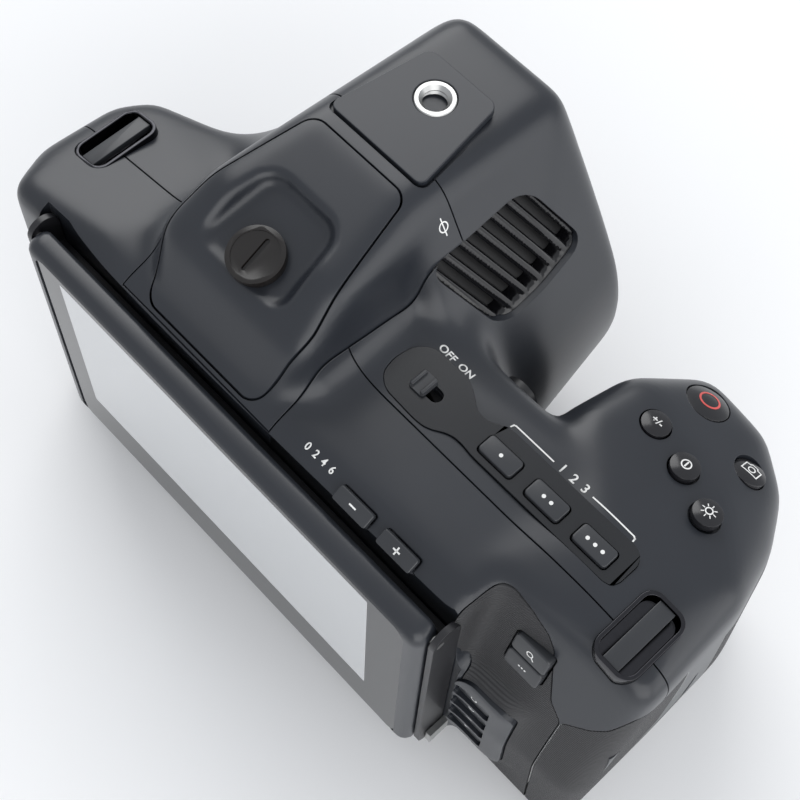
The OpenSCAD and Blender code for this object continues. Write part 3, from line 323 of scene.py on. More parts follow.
def slab(name, outline, low_z, high_z, r=0, where=Matrix.Identity(4), segments=6):
    """A flat plate with this outline, its corners rounded."""
    bm = bmesh.new()
    face = bm.faces.new([bm.verts.new((x * mm, y * mm, low_z * mm)) for x, y in outline])
    piece = from_bmesh(name, bm)
    only(piece)
    bpy.ops.object.mode_set(mode="EDIT")
    bpy.ops.mesh.select_all(action="SELECT")
    if r:
        bpy.ops.mesh.bevel(offset=r * mm, segments=segments, affect="VERTICES")
        bpy.ops.mesh.select_all(action="SELECT")
    bpy.ops.mesh.extrude_region_move(TRANSFORM_OT_translate={"value": (0, 0, (high_z - low_z) * mm)})
    bpy.ops.mesh.select_all(action="SELECT")
    bpy.ops.mesh.normals_make_consistent(inside=False)
    bpy.ops.object.mode_set(mode="OBJECT")
    piece.data.transform(where)
    return piece


# Where things are let into the casings
SEAM, GAP = 10.0, 0.17
FN_KEYS = [(-61.0 - 13.2 * i, 1.9, 97.2) for i in range(3)]
ROUND_KEYS = [(-76.3, -30.0, 91.66), (-87.2, -26.8, 92.37), (-97.5, -21.9, 93.49)]
DECK_TILT, NOSE_TILT = 12.78, 28.33
RECORD, STILL = (-79.2, -45.3, 84.3), (-96.3, -39.3, 84.8)
SWITCH = (-38.26, 1.9, 97.2)
ND_KEYS, ND_TILT = [(-48.56, 31.2, 96.6), (-61.42, 31.2, 96.6)], -30.98
LUGS = [((57.05, 8.28, 91.36), 11.7), ((-105.9, 8.28, 96.04), -5.4)]
MENU_KEYS = [(-87.17, 30.1, 44.85 + (1.5 - i) * 7.4) for i in range(4)]
ZOOM_KEYS = [(-92.43, 22.55 + i * 1.41, 84.34 - i * 6.11) for i in range(2)]
ZOOM_LEAN = 13
key_plate_outline = [
    (-29.5, 1.9), (-30.4, -3.0), (-33.5, -5.9), (-43.5, -6.2), (-47.0, -4.6), (-50.0, -2.2), (-53.2, -1.9),
    (-56.0, -3.6), (-57.9, -4.4), (-94.0, -4.4), (-96.1, -2.4), (-96.1, 4.6), (-94.6, 6.1), (-56.5, 6.1),
    (-53.0, 5.6), (-50.0, 6.0), (-46.0, 8.6), (-43.0, 9.0), (-33.5, 8.6), (-30.4, 6.4)]


def lug_place(i):
    at, lean = LUGS[i]
    return place(at, (0, lean, 0))


def wells():
    """What is let into the casings from outside."""
    cuts = [slab("w", key_plate_outline, 95.7, 101, 1.6)]
    cuts += [rod("w", 3.75, -3.4, 5, place(at, (DECK_TILT, 0, 0))) for at in ROUND_KEYS]
    cuts += [rod("w", 5.55, -3.4, 6, place(RECORD, (NOSE_TILT, 0, 0))),
             rod("w", 4.1, -3.4, 6, place(STILL, (NOSE_TILT, 0, 0)))]
    cuts += [soft_block("w", 11.1, 18.9, -4.85, 6, 3.5, lug_place(i), 8) for i in (0, 1)]
    cuts += [soft_block("w", 9.9, 3.9, -3.4, 4, 0.7, place(at, (ND_TILT, 0, 0))) for at in ND_KEYS]
    cuts += [soft_block("w", 9.9, 6.2, -5, 4, 1.2, place(at, (-90, 0, 0))) for at in MENU_KEYS]
    mid = [(a + b) / 2 for a, b in zip(*ZOOM_KEYS)]
    cuts += [soft_block("w", 9.9, 12.5, -5, 4, 1.2, place(mid, (ZOOM_LEAN - 90, 0, 0)))]
    cuts += [block_from("w", (-82.0, 30.7, 13.1), (52.3, 60, 94.4))]
    return cuts


shell = copy_of(outside, "shell")
rear_space = block_from("space", (-84.3, 28.3, -20), (90, 60, 150))
hollow_space = carve(copy_of(inside, "hollow"), rear_space)
carve(shell, hollow_space)
openings = wells()
openings += [rod("w", THROAT_R, -70, -24.4, place((0, 0, LENS_Z), (-90, 0, 0)), 128)]
openings += [block_from("w", (-118.0, -6.3, 18.2), (-110, 21.7, 64.7)),
             block_from("w", (64.4, -1.7, 48.45), (80, 23.1, 80.25)),
             block_from("w", (64.4, -1.7, 11.4), (80, 23.1, 46.1)),
             block_from("w", (-104.5, -43.86, -2), (-78.6, -2.26, 2.4)),
             block_from("w", (-24, -8.6, -2), (24, 17.8, 1.44))]
openings += [rod("w", 2.16, -2, 1.68, place(at)) for at in (
    (42, -7.7, 0), (56, 20.7, 0), (-52.65, 20.7, 0), (-58.5, -8.4, 0))]
openings += [rod("w", 1.6, -3.4, 2, place(
    (RING_MID * math.sin(a), -65, LENS_Z + RING_MID * math.cos(a)), (90, 0, 0)))
             for a in [math.radians(45 + 90 * i) for i in range(4)]]
openings += [soft_block("w", 5.16, 11.64, -3.4, 5, 1.3, place((-31.7, -65, 38.1), (90, -28, 0))),
             rod("w", 7.1, -2.46, 2.46, place((-83.07, -52.2, 60.45))),
             rod("w", 4.8, -6, 8, place((-50.31, -15.68, 85.3), (90, 0, 0))),
             rod("w", 3.36, -6, 8, place((50.4, -13.02, 70.2), (90, 0, 0))),
             rod("w", 3.36, -6, 8, place((50.4, -13.02, 58.2), (90, 0, 0)))]
seam_cutter = joined("openings", openings)
zone = block_from("zone", (-24.0, -23.0, 88.0), (24.0, 32.4, 140))
zone_in = block_from("zone_in", (-23.65, -22.65, 88.3), (23.65, 32.1, 140))

# The vent openings go through both flanks of the hump
VENT = [(-12.0, 108.9), (-42.4, 108.9), (-54.9, 87.0), (-24.5, 87.0)]


def flank_slab(name, outline, x_in, x_out, side, r=0, segments=6):
    """A plate that stands on edge along the hump's flank; side is -1 on the grip's side."""
    where = Matrix(((0, 0, side, 0), (1, 0, 0, 0), (0, 1, 0, 0), (0, 0, 0, 1)))
    return outward(slab(name, outline, x_in, x_out, r, where, segments))


vents = joined("vents", [flank_slab("v", VENT, 12, 46, side, 5.4) for side in (-1, 1)])

rear_casing = carve(copy_of(shell, "rear_casing"),
                    block_from("half", (-200, -200, -50), (200, SEAM + GAP, 200)))
front_casing = carve(shell, block_from("half", (-200, SEAM - GAP, -50), (200, 200, 200)))
front_casing.name = "front_casing"
hump_casing = carve(copy_of(outside, "hump_casing"), zone_in, "INTERSECT")
carve(hump_casing, copy_of(inside, "core"))
for casing in (front_casing, rear_casing):
    carve(casing, zone, keep=True)
    carve(casing, seam_cutter, keep=True)
drop(zone, seam_cutter)
carve(front_casing, vents, keep=True)
carve(hump_casing, vents)

# Inside the front casing: the throat wall, the sensor's seat, the battery bay and the tripod block
ribs = copy_of(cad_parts["front_housing"], "casing_ribs")
only(ribs)
bpy.ops.object.mode_set(mode="EDIT")
bpy.ops.mesh.select_all(action="SELECT")
bpy.ops.mesh.remove_doubles(threshold=0.000002)
bpy.ops.object.mode_set(mode="OBJECT")
carve(ribs, copy_of(inside, "core"), "INTERSECT", solver="EXACT")
collar_place = place((0, -64.6, LENS_Z), (90, 0, 0))
collar = rod("lens_collar", 32.5, 0, 1.4, collar_place, 128)
carve(collar, rod("w", THROAT_R, -3, 5, collar_place, 128))
carve(collar, rod("w", 2.6, -3, 5, place((-RING_MID, -64.6, LENS_Z), (90, 0, 0))))


def smooth(piece, angle=35):
    only(piece)
    bpy.ops.object.shade_smooth_by_angle(angle=math.radians(angle))


def satin_plastic(name, colour, rough=0.42, grain=0.02, edge=0.22, fleck=5200):
    """Moulded plastic: a fine even grain, slight clouding and softly broken edges."""
    finish = bpy.data.materials.new(name)
    finish.use_nodes = True
    nodes, links = finish.node_tree.nodes, finish.node_tree.links
    shader = nodes["Principled BSDF"]
    where = nodes.new("ShaderNodeTexCoord")
    cloud = nodes.new("ShaderNodeTexNoise")
    cloud.inputs["Scale"].default_value = 45
    cloud.inputs["Detail"].default_value = 4
    tone = nodes.new("ShaderNodeValToRGB")
    tone.color_ramp.elements[0].position, tone.color_ramp.elements[1].position = 0.3, 0.7
    tone.color_ramp.elements[0].color = [c * 0.92 for c in colour] + [1]
    tone.color_ramp.elements[1].color = [c * 1.08 for c in colour] + [1]
    links.new(where.outputs["Object"], cloud.inputs["Vector"])
    links.new(cloud.outputs["Fac"], tone.inputs["Fac"])
    links.new(tone.outputs["Color"], shader.inputs["Base Color"])
    gloss = nodes.new("ShaderNodeMapRange")
    gloss.inputs["To Min"].default_value, gloss.inputs["To Max"].default_value = rough * 0.92, rough * 1.08
    links.new(cloud.outputs["Fac"], gloss.inputs["Value"])
    links.new(gloss.outputs["Result"], shader.inputs["Roughness"])
    fine = nodes.new("ShaderNodeTexNoise")
    fine.inputs["Scale"].default_value = fleck
    fine.inputs["Detail"].default_value = 2
    bump = nodes.new("ShaderNodeBump")
    bump.inputs["Strength"].default_value = grain * 10
    bump.inputs["Distance"].default_value = 0.00002
    links.new(where.outputs["Object"], fine.inputs["Vector"])
    links.new(fine.outputs["Fac"], bump.inputs["Height"])
    if edge:
        soft = nodes.new("ShaderNodeBevel")
        soft.samples = 4
        soft.inputs["Radius"].default_value = edge * mm
        links.new(soft.outputs["Normal"], bump.inputs["Normal"])
    links.new(bump.outputs["Normal"], shader.inputs["Normal"])
    return finish


def dress(piece, finish, body=None, stands_for=(), angle=35):
    """Gives a piece its finish, its body and the solids that it stands for."""
    piece.data.materials.clear()
    piece.data.materials.append(finish)
    for face in piece.data.polygons:
        face.material_index = 0
    if angle:
        smooth(piece, angle)
    if body:
        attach(piece, body)
    if stands_for:
        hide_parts(*stands_for)
    return piece


def soften(piece, width, segments=3, angle=60):
    only(piece)
    rounding = piece.modifiers.new("rounding", "BEVEL")
    rounding.width, rounding.segments, rounding.limit_method = width * mm, segments, "ANGLE"
    rounding.angle_limit = math.radians(angle)
    bpy.ops.object.modifier_apply(modifier=rounding.name)
    return piece


def finish_nodes(finish, *names):
    for name in names:
        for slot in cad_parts[name].material_slots:
            slot.material = finish


casing_finish = satin_plastic("casing_satin", (0.0175, 0.020, 0.0255), 0.33)
inner_finish = satin_plastic("casing_inside", (0.012, 0.012, 0.013), 0.6, edge=0)
dress(front_casing, casing_finish, "camera_body", ["front_housing"])
dress(rear_casing, casing_finish, "camera_body", ["rear_housing"])
dress(hump_casing, casing_finish, "camera_body", ["hump_housing"])
dress(ribs, inner_finish, "camera_body", ["front_housing"])
dress(collar, casing_finish, "camera_body", ["front_housing"])
finish_nodes(casing_finish, "card_door", "battery_door")

# --------------------------------------------------
# The cover panel on the hump: a moulded lid let in flush with the casing, with a soft dish round
# its screwed socket plug. It is thinner than the casing and sits in a fine gap all round.
# --------------------------------------------------
COVER = [(-17.0, 31.0), (-21.0, 18.6), (-13.75, -14.9), (13.75, -14.9), (21.0, 18.6), (17.0, 31.0)]


def closed(field):
    """Marks the border of a field as outside, so that its skin closes there."""
    for axis in (0, 1, 2):
        np.moveaxis(field, axis, 0)[[0, -1]] = 3.0
    return field


def rounded(x, y, r):
    """How far a point lies outside a box with round corners, from its distances x, y to the sides."""
    x, y = x + r, y + r
    return np.hypot(np.maximum(x, 0), np.maximum(y, 0)) + np.minimum(np.maximum(x, y), 0) - r


def crop(field, low_at, high_at):
    a = [int((v - l) / STEP) for v, l in zip(low_at, low)]
    b = [int((v - l) / STEP) + 2 for v, l in zip(high_at, low)]
    return field[a[0]:b[0], a[1]:b[1], a[2]:b[2]], [l + STEP * i for l, i in zip(low, a)]


def places_of(field, low_at):
    """The X, Y and Z of every point of a field with a quarter of the usual spacing."""
    return np.meshgrid(*[l + STEP / 4 * np.arange(n) for l, n in zip(low_at, field.shape)], indexing="ij")


near, near_low = crop(form, (-31, -24, 84), (31, 38, 129))
near = finer(finer(near))
gx, gy, gz = places_of(near, near_low)
lean = math.radians(18)  # the dish leans back a little more than the hump's crest
dish_y = (gy - 10.4) * math.cos(lean) - (gz - 118.75) * math.sin(lean)
dish_z = (gy - 10.4) * math.sin(lean) + (gz - 118.75) * math.cos(lean)
wide = 12.6 + 0.13 * dish_y
mouth = rounded(np.abs(gx - 0.4) - wide, np.abs(dish_y + 0.6) - 11.6, 5.5)
dish = -soft_min(-(mouth - 0.4 * dish_z), -(-(dish_z + 4.3)), 2.0)
lid_form = -soft_min(-near, dish, 1.8)
lid = skin("socket_lid", closed(lid_form), near_low, STEP / 4)
carve(lid, skin("under", lid_form, near_low, STEP / 4, -1.6))
carve(lid, slab("lid", COVER, 92, 135, 3.0), "INTERSECT")
only(lid)


def grown(outline, by):
    """The same outline, moved outward by this much."""
    out, n = [], len(outline)
    area = sum(px * qy - qx * py for (px, py), (qx, qy) in zip(outline, outline[1:] + outline[:1]))
    sign = 1 if area > 0 else -1
    for i in range(n):
        (ax, ay), (bx, by_), (cx, cy) = outline[i - 1], outline[i], outline[(i + 1) % n]
        n1 = Vector((by_ - ay, ax - bx)).normalized() * sign
        n2 = Vector((cy - by_, bx - cx)).normalized() * sign
        m = (n1 + n2) / (1 + n1.dot(n2))
        out.append((bx + m.x * by, by_ + m.y * by))
    return out


carve(hump_casing, slab("lid_hole", grown(COVER, 0.45), 92, 135, 3.2))
dress(lid, casing_finish, "camera_body", ["hump_cover"])
smooth(hump_casing)

# --------------------------------------------------
# The vent grilles in the hump's flanks: gloss black mouldings behind a rounded opening, with fins that lean
# forward as they fall, and a matt black sheet behind them that is painted shade for the dark inside of the
# hump. The fan draws air through.
# --------------------------------------------------
gloss_black = satin_plastic("gloss_black", (0.006, 0.006, 0.007), 0.12, 0.004, 0.12)
FIN_PITCH, FIN_LEAN = 4.9, 12.5 / 21.9
for side, name in ((-1, "vent_grille_grip_side"), (1, "vent_grille_left")):
    fins, fins_low = crop(form, (13 if side > 0 else -46, -60, 84), (46 if side > 0 else -13, -8, 112))
    fins = finer(finer(fins))
    gx, gy, gz = places_of(fins, fins_low)
    along = gy + (107.8 - gz) * FIN_LEAN + 15.6
    fin = (1.15 - np.abs((along + FIN_PITCH / 2) % FIN_PITCH - FIN_PITCH / 2)) * 0.87
    frame_bars = 9.6 - np.abs(gz - 98.0)
    fins = -soft_min(-(fins + 1.1), -np.minimum(fin, frame_bars), 1.0)
    grille = skin("grille", closed(fins), fins_low, STEP / 4)
    carve(grille, skin("under", form, low, STEP, -4.3))
    carve(grille, flank_slab("window", grown(VENT, -0.12), 12.5, 45, side, 5.3), "INTERSECT")
    grille.name = name
    dress(grille, gloss_black, "camera_body", ["vent_grille"])
    # A matt black sheet behind the fins: painted shade that stands in for the dark inside of the hump, seen
    # through the gaps.
    screen = skin("shade_backing", form, low, STEP, -4.4)
    carve(screen, skin("under", form, low, STEP, -5.2))
    carve(screen, flank_slab("window", grown(VENT, 0.6), 12.5, 45, side, 5.8), "INTERSECT")
    dress(screen, inner_finish, "camera_body", ["vent_grille"])

# --------------------------------------------------
# The accessory plate on the hump: a flat moulded plate with rounded corners, let in flush, round
# a steel insert with a 1/4 inch thread for a handle or a light.
# --------------------------------------------------
PLATE = [(-14.0, -19.0), (-10.25, -45.0), (10.25, -45.0), (14.0, -19.0)]
plate_pocket = slab("plate_pocket", grown(PLATE, 0.7), 120.8, 130, 2.8)
carve(front_casing, copy_of(plate_pocket, "cut"))
carve(hump_casing, plate_pocket)
smooth(front_casing)
smooth(hump_casing)
plate = slab("top_plate", PLATE, 120.8, 122.75, 2.2)
carve(plate, rod("w", 4.8, 119, 124, place((0, -36.5, 0))))
soften(plate, 0.55, 4)
dress(plate, casing_finish, "camera_body", ["accessory_plate"], angle=10)


def metal(name, colour, rough):
    """Turned or plated metal with fine tool marks."""
    finish = bpy.data.materials.new(name)
    finish.use_nodes = True
    nodes, links = finish.node_tree.nodes, finish.node_tree.links
    shader = nodes["Principled BSDF"]
    shader.inputs["Metallic"].default_value = 1.0
    where = nodes.new("ShaderNodeTexCoord")
    marks = nodes.new("ShaderNodeTexNoise")
    marks.inputs["Scale"].default_value = 900
    marks.inputs["Detail"].default_value = 3
    tone = nodes.new("ShaderNodeValToRGB")
    tone.color_ramp.elements[0].color = [c * 0.85 for c in colour] + [1]
    tone.color_ramp.elements[1].color = [min(c * 1.1, 1) for c in colour] + [1]
    gloss = nodes.new("ShaderNodeMapRange")
    gloss.inputs["To Min"].default_value, gloss.inputs["To Max"].default_value = rough * 0.8, rough * 1.2
    bump = nodes.new("ShaderNodeBump")
    bump.inputs["Strength"].default_value = 0.15
    bump.inputs["Distance"].default_value = 0.00002
    links.new(where.outputs["Object"], marks.inputs["Vector"])
    links.new(marks.outputs["Fac"], tone.inputs["Fac"])
    links.new(tone.outputs["Color"], shader.inputs["Base Color"])
    links.new(marks.outputs["Fac"], gloss.inputs["Value"])
    links.new(gloss.outputs["Result"], shader.inputs["Roughness"])
    links.new(marks.outputs["Fac"], bump.inputs["Height"])
    links.new(bump.outputs["Normal"], shader.inputs["Normal"])
    return finish


steel = metal("bright_steel", (0.5, 0.5, 0.49), 0.34)
dark_chrome = metal("dark_chrome", (0.05, 0.05, 0.055), 0.16)


def threaded_insert(name, at, outer, bore, length, up_side=1):
    """A steel bush with a blind hole and the grooves of a 1/4 inch thread, 1.27 mm apart."""
    crest, root, pitch, chamfer = bore / 2, bore / 2 + 0.5, 1.27, 0.9
    outline = [(0, 0), (outer / 2, 0), (outer / 2, length - 0.25), (outer / 2 - 0.25, length),
               (root + 0.35, length)]
    z = length - chamfer
    while z > 0.7:
        outline += [(crest, z), (crest, z - 0.2), (root, z - pitch / 2 - 0.1), (root, z - pitch / 2 - 0.16)]
        z -= pitch
    outline += [(crest, 0.55), (0, 0.35)]
    bm = bmesh.new()
    verts = [bm.verts.new((r * mm, 0, h * mm)) for r, h in outline]
    for a, b in zip(verts, verts[1:]):
        bm.edges.new((a, b))
    piece = from_bmesh(name, bm)
    only(piece)
    turn = piece.modifiers.new("turn", "SCREW")
    turn.steps = turn.render_steps = 72
    turn.use_merge_vertices, turn.merge_threshold = True, 0.000002
    turn.use_smooth_shade = True
    bpy.ops.object.modifier_apply(modifier=turn.name)
    bpy.ops.object.mode_set(mode="EDIT")
    bpy.ops.mesh.select_all(action="SELECT")
    bpy.ops.mesh.remove_doubles(threshold=0.000005)
    bpy.ops.mesh.normals_make_consistent(inside=False)
    bpy.ops.object.mode_set(mode="OBJECT")
    piece.data.transform(place(at) @ Matrix.Diagonal((1, 1, up_side, 1)))
    return outward(piece) if up_side < 0 else piece


dress(threaded_insert("top_thread_insert", (0, -36.5, 115.8), 9.4, 5.5, 7), steel,
      "camera_body", ["top_insert"])
dress(threaded_insert("tripod_thread_insert", (0, 0, 8), 12, 5.1, 8, -1), steel,
      "camera_body", ["tripod_insert"])

# --------------------------------------------------
# The socket plug in the dish: a brown-black moulded screw cap with a coin slot and a sunk rim.
# --------------------------------------------------
plug_place = place((0, 13.27, 113.3), (-14, 0, 0))
plug = rod("coin_plug", 6.45, 0, 2.3, plug_place, 96)
carve(plug, rod("w", 5.3, 2.0, 4, plug_place, 96))
carve(plug, soft_block("w", 8.4, 1.15, 1.2, 4, 0.56, plug_place @ place(turn=(0, 0, -84))))
soften(plug, 0.18, 2, 30)
plug_finish = satin_plastic("plug_brown_black", (0.011, 0.009, 0.008), 0.25, 0.01, 0)
dress(plug, plug_finish, "socket_plug", ["socket_plug"])

# --------------------------------------------------
# Printed marks: thin white ink laid on the casing or on a key. Only plain, general ones are used:
# ON and OFF, numbers, dots, plus and minus, and simple signs.
# --------------------------------------------------
ink = satin_plastic("white_ink", (0.80, 0.80, 0.78), 0.5, 0.004, 0)
red_ink = satin_plastic("red_ink", (0.62, 0.09, 0.08), 0.4, 0.004, 0)


def ring_shape(r, width, sides=40):
    bm = bmesh.new()
    rows = [[bm.verts.new((q * math.cos(a) * mm, q * math.sin(a) * mm, 0)) for a in
             [2 * math.pi * i / sides for i in range(sides)]] for q in (r - width / 2, r + width / 2)]
    for i in range(sides):
        j = (i + 1) % sides
        bm.faces.new((rows[0][i], rows[1][i], rows[1][j], rows[0][j]))
    return from_bmesh("ring", bm)


def flat_shape(points, width=None):
    """A filled outline, or a line of this width through the points."""
    bm = bmesh.new()
    if width is None:
        bm.faces.new([bm.verts.new((x * mm, y * mm, 0)) for x, y in points])
    else:
        for (ax, ay), (bx, by) in zip(points, points[1:]):
            along = Vector((bx - ax, by - ay, 0)).normalized()
            side = Vector((-along.y, along.x, 0)) * width / 2
            a, b = Vector((ax, ay, 0)) - along * width / 2, Vector((bx, by, 0)) + along * width / 2
            bm.faces.new([bm.verts.new(p * mm) for p in (a - side, b - side, b + side, a + side)])
        bmesh.ops.subdivide_edges(bm, edges=bm.edges, cuts=4, use_grid_fill=True)
    return from_bmesh("line", bm)


def dot_shape(x, y, r, sides=24):
    return flat_shape([(x + r * math.cos(2 * math.pi * i / sides), y + r * math.sin(2 * math.pi * i / sides))
                       for i in range(sides)])


def word_shape(text, size, x=0, y=0):
    bpy.ops.object.select_all(action="DESELECT")
    bpy.ops.object.text_add()
    word = bpy.context.object
    word.data.body, word.data.size = text, size * mm
    word.data.align_x, word.data.align_y = "CENTER", "CENTER"
    word.data.offset = 0.02 * size * mm
    bpy.ops.object.convert(target="MESH")
    word = bpy.context.object
    word.data.transform(place((x, y, 0)))
    return word


def mark(name, shapes, where, body, over=None, finish=None):
    """Lays shapes at a place, a hair above the face there, or wrapped down onto a piece."""
    piece = joined(name, shapes)
    piece.data.transform(where)
    only(piece)
    if over:
        wrap = piece.modifiers.new("wrap", "SHRINKWRAP")
        wrap.target, wrap.wrap_method = over, "PROJECT"
        wrap.use_negative_direction, wrap.use_positive_direction = True, True
        wrap.use_project_z = True
        wrap.offset = 0.05 * mm
        bpy.ops.object.modifier_apply(modifier=wrap.name)
    skin_of = piece.modifiers.new("ink", "SOLIDIFY")
    skin_of.thickness, skin_of.offset = 0.03 * mm, 1
    bpy.ops.object.modifier_apply(modifier=skin_of.name)
    return dress(piece, finish or ink, body, angle=None)


def facing(at, turn=(0, 0, 0)):
    """Read from behind the camera: a mark's own X runs toward the grip and its Y to the front."""
    return place(at, turn) @ place(turn=(0, 0, 180))


# --------------------------------------------------
# The deck keys: the gloss black plate with the three function keys and the power switch, the three
# round keys, the record button with its red ring, the still button, and the filter keys behind.
# --------------------------------------------------
key_finish = satin_plastic("key_satin", (0.030, 0.032, 0.036), 0.34, 0.03, 0.1)
round_finish = satin_plastic("key_gloss", (0.012, 0.012, 0.014), 0.2, 0.008, 0.1)


def switch_at(x):
    """A place on the power switch, this far along its slot."""
    return place((SWITCH[0] + x, SWITCH[1], SWITCH[2]))


plate_body = slab("key_bed", grown(key_plate_outline, -0.12), 95.76, 97.2, 1.5)
for at in FN_KEYS:
    carve(plate_body, soft_block("w", 9.9, 5.3, -3, 3, 1.1, place(at)))
carve(plate_body, soft_block("w", 6.9, 3.3, -3, 3, 1.6, switch_at(-1.84)))
dress(plate_body, satin_plastic("bed_black", (0.010, 0.011, 0.013), 0.26, 0.01, 0.15),
      "camera_body", ["key_plate"])
wells_cut = [soft_block("w", 9.8, 5.2, -3.4, 1, 1.1, place(at)) for at in FN_KEYS]
wells_cut.append(soft_block("w", 6.8, 3.2, -3.4, 1, 1.5, switch_at(-1.84)))
wells_cut = joined("wells", wells_cut)
carve(front_casing, wells_cut)
smooth(front_casing)

for i, at in enumerate(FN_KEYS):
    name = "function_key_%d" % (i + 1)
    key = soften(soft_block(name + "_cap", 9.2, 4.6, -1.6, 0.9, 0.9, place(at)), 0.3)
    dress(key, key_finish, name, [name])
    mark(name + "_dots", [dot_shape((j - i / 2) * 2.05, 0, 0.45) for j in range(i + 1)],
         facing((at[0], at[1], at[2] + 0.91)), name)

for name, at in zip(("iso_key", "shutter_key", "balance_key"), ROUND_KEYS):
    where = place(at, (DECK_TILT, 0, 0))
    key = soften(dome(rod(name + "_cap", 3.4, -1.6, 1.2, where, 72), 3.4, 0.86, 0.6, where), 0.25, 3)
    dress(key, round_finish, name, [name])
    shapes = {"iso_key": lambda: [word_shape("+/-", 2.4)],
              "shutter_key": lambda: [ring_shape(1.1, 0.3), flat_shape([(0, -0.6), (0, 0.6)], 0.35)],
              "balance_key": lambda: [ring_shape(0.8, 0.3)] + [
                  flat_shape([(q * math.cos(a), q * math.sin(a)) for q in (1.2, 1.7)], 0.22)
                  for a in [math.radians(45 * k) for k in range(8)]]}[name]()
    mark(name + "_sign", shapes, where @ place((0, 0, 0.91)) @ place(turn=(0, 0, 180)), name, key)

where = place(RECORD, (NOSE_TILT, 0, 0))
key = soften(dome(rod("record_cap", 5.3, -1.6, 1.8, where, 96), 5.3, 1.35, 0.95, where), 0.3, 3)
dress(key, round_finish, "record_button", ["record_button"])
mark("record_ring", [ring_shape(2.35, 0.5)], where @ place((0, 0, 1.4)), "record_button", key, red_ink)
where = place(STILL, (NOSE_TILT, 0, 0))
key = soften(dome(rod("still_cap", 3.9, -1.6, 1.6, where, 96), 3.9, 1.15, 0.7, where), 0.25, 3)
dress(key, round_finish, "still_button", ["still_button"])
mark("still_sign", [ring_shape(0.8, 0.28), flat_shape([(-2, -1.3), (2, -1.3), (2, 1.2), (1, 1.2), (0.7, 1.7),
     (-0.7, 1.7), (-1, 1.2), (-2, 1.2), (-2, -1.3)], 0.28)],
     where @ place((0, 0, 1.27)) @ place(turn=(0, 0, 180)), "still_button", key)

# The power switch: a ribbed slider in its slot, at OFF at rest
slider = soft_block("power_slider", 4.4, 5.2, 0.0, 0.55, 1.0, place(SWITCH))
ribs_of = [soften(soft_block("rib", 0.9, 4.6, 0.3, 1.26, 0.3, switch_at(x)), 0.2) for x in (-1.5, 1.5)]
slider = joined("power_slider", [slider] + ribs_of + [rod("stem", 1.5, -2.2, 0.1, place(SWITCH))])
dress(slider, key_finish, "power_switch", ["power_switch"])

for name, at, strokes in zip(("nd_minus_key", "nd_plus_key"), ND_KEYS,
                             ([[(-0.75, 0), (0.75, 0)]], [[(-0.75, 0), (0.75, 0)], [(0, -0.75), (0, 0.75)]])):
    where = place(at, (ND_TILT, 0, 0))
    key = soften(soft_block(name + "_cap", 9.6, 3.6, -0.96, 0.63, 0.6, where), 0.3)
    dress(key, key_finish, name, [name])
    mark(name + "_sign", [flat_shape(s, 0.36) for s in strokes],
         where @ place((0, 0, 0.64)) @ place(turn=(0, 0, 180)), name)

# Marks on the deck
mark("switch_words", [word_shape("OFF", 2.6, 36.0, 0.1), word_shape("ON", 2.6, 41.6, 0.1)],
     facing((0, -7.3, 99)), "camera_body", outside)
mark("function_numbers", [word_shape("1  2  3", 3.0, 74.2, 0)], facing((0, -6.2, 99)),
     "camera_body", outside)
mark("function_bracket", [flat_shape([(57.2, -1.5), (57.4, -0.8), (57.9, -0.6), (68.6, -0.6)], 0.34),
                          flat_shape([(79.8, -0.6), (91.1, -0.6), (91.6, -0.9), (91.7, -1.6)], 0.34)],
     facing((0, -6.6, 99)), "camera_body", outside)
mark("filter_numbers", [word_shape("0  2  4  6", 2.3, 36.0, 0)], facing((0, 29.0, 99)),
     "camera_body", outside)
flank = Vector((-0.87, -0.05, 0.49)).normalized()
lay = flank.to_track_quat("Z", "Y").to_matrix().to_4x4()
mark("focal_plane_sign", [ring_shape(1.15, 0.3), flat_shape([(0, -2.2), (0, 2.2)], 0.3)],
     place((-20.6, -19.6, 115.6)) @ lay, "camera_body", outside)

# --------------------------------------------------
# The strap lugs: dark plated cups let into the shoulders, each with a bar for the strap.
# --------------------------------------------------
cups, bars = [], []
for i in (0, 1):
    cup = soft_block("cup", 11.0, 18.8, -4.8, 0.2, 3.4, lug_place(i), 8)
    carve(cup, soft_block("w", 9.2, 17.0, -3.9, 3, 2.6, lug_place(i), 8))
    soften(cup, 0.3, 3)
    bar = soften(soft_block("bar", 4.2, 16.8, -2.0, -0.35, 0.2, lug_place(i)), 0.35, 3)
    cups.append(cup)
    bars.append(bar)
dress(joined("strap_cups", cups), dark_chrome, "camera_body", ["strap_lugs"])
dress(joined("strap_bars", bars), key_finish, "camera_body", ["strap_lugs"])

# --------------------------------------------------
# The rubber skins: ribbed rubber on the thumb rest and round the grip, let in flush with the
# casings. The ribs are fine mouldings about 0.6 mm apart, level all round.
# --------------------------------------------------
def ribbed_rubber(name, colour, pitch=0.62):
    finish = satin_plastic(name, colour, 0.55, 0.03, 0)
    nodes, links = finish.node_tree.nodes, finish.node_tree.links
    where = nodes["Texture Coordinate"]
    ribs_wave = nodes.new("ShaderNodeTexWave")
    ribs_wave.bands_direction = "Z"
    ribs_wave.inputs["Scale"].default_value = 2 * math.pi / (pitch * mm) / 20
    ribs_wave.inputs["Distortion"].default_value = 0
    ridge = nodes.new("ShaderNodeBump")
    ridge.inputs["Strength"].default_value = 1.0
    ridge.inputs["Distance"].default_value = 0.00016
    links.new(where.outputs["Object"], ribs_wave.inputs["Vector"])
    links.new(ribs_wave.outputs["Fac"], ridge.inputs["Height"])
    links.new(nodes["Bump"].outputs["Normal"], ridge.inputs["Normal"])
    links.new(ridge.outputs["Normal"], nodes["Principled BSDF"].inputs["Normal"])
    return finish


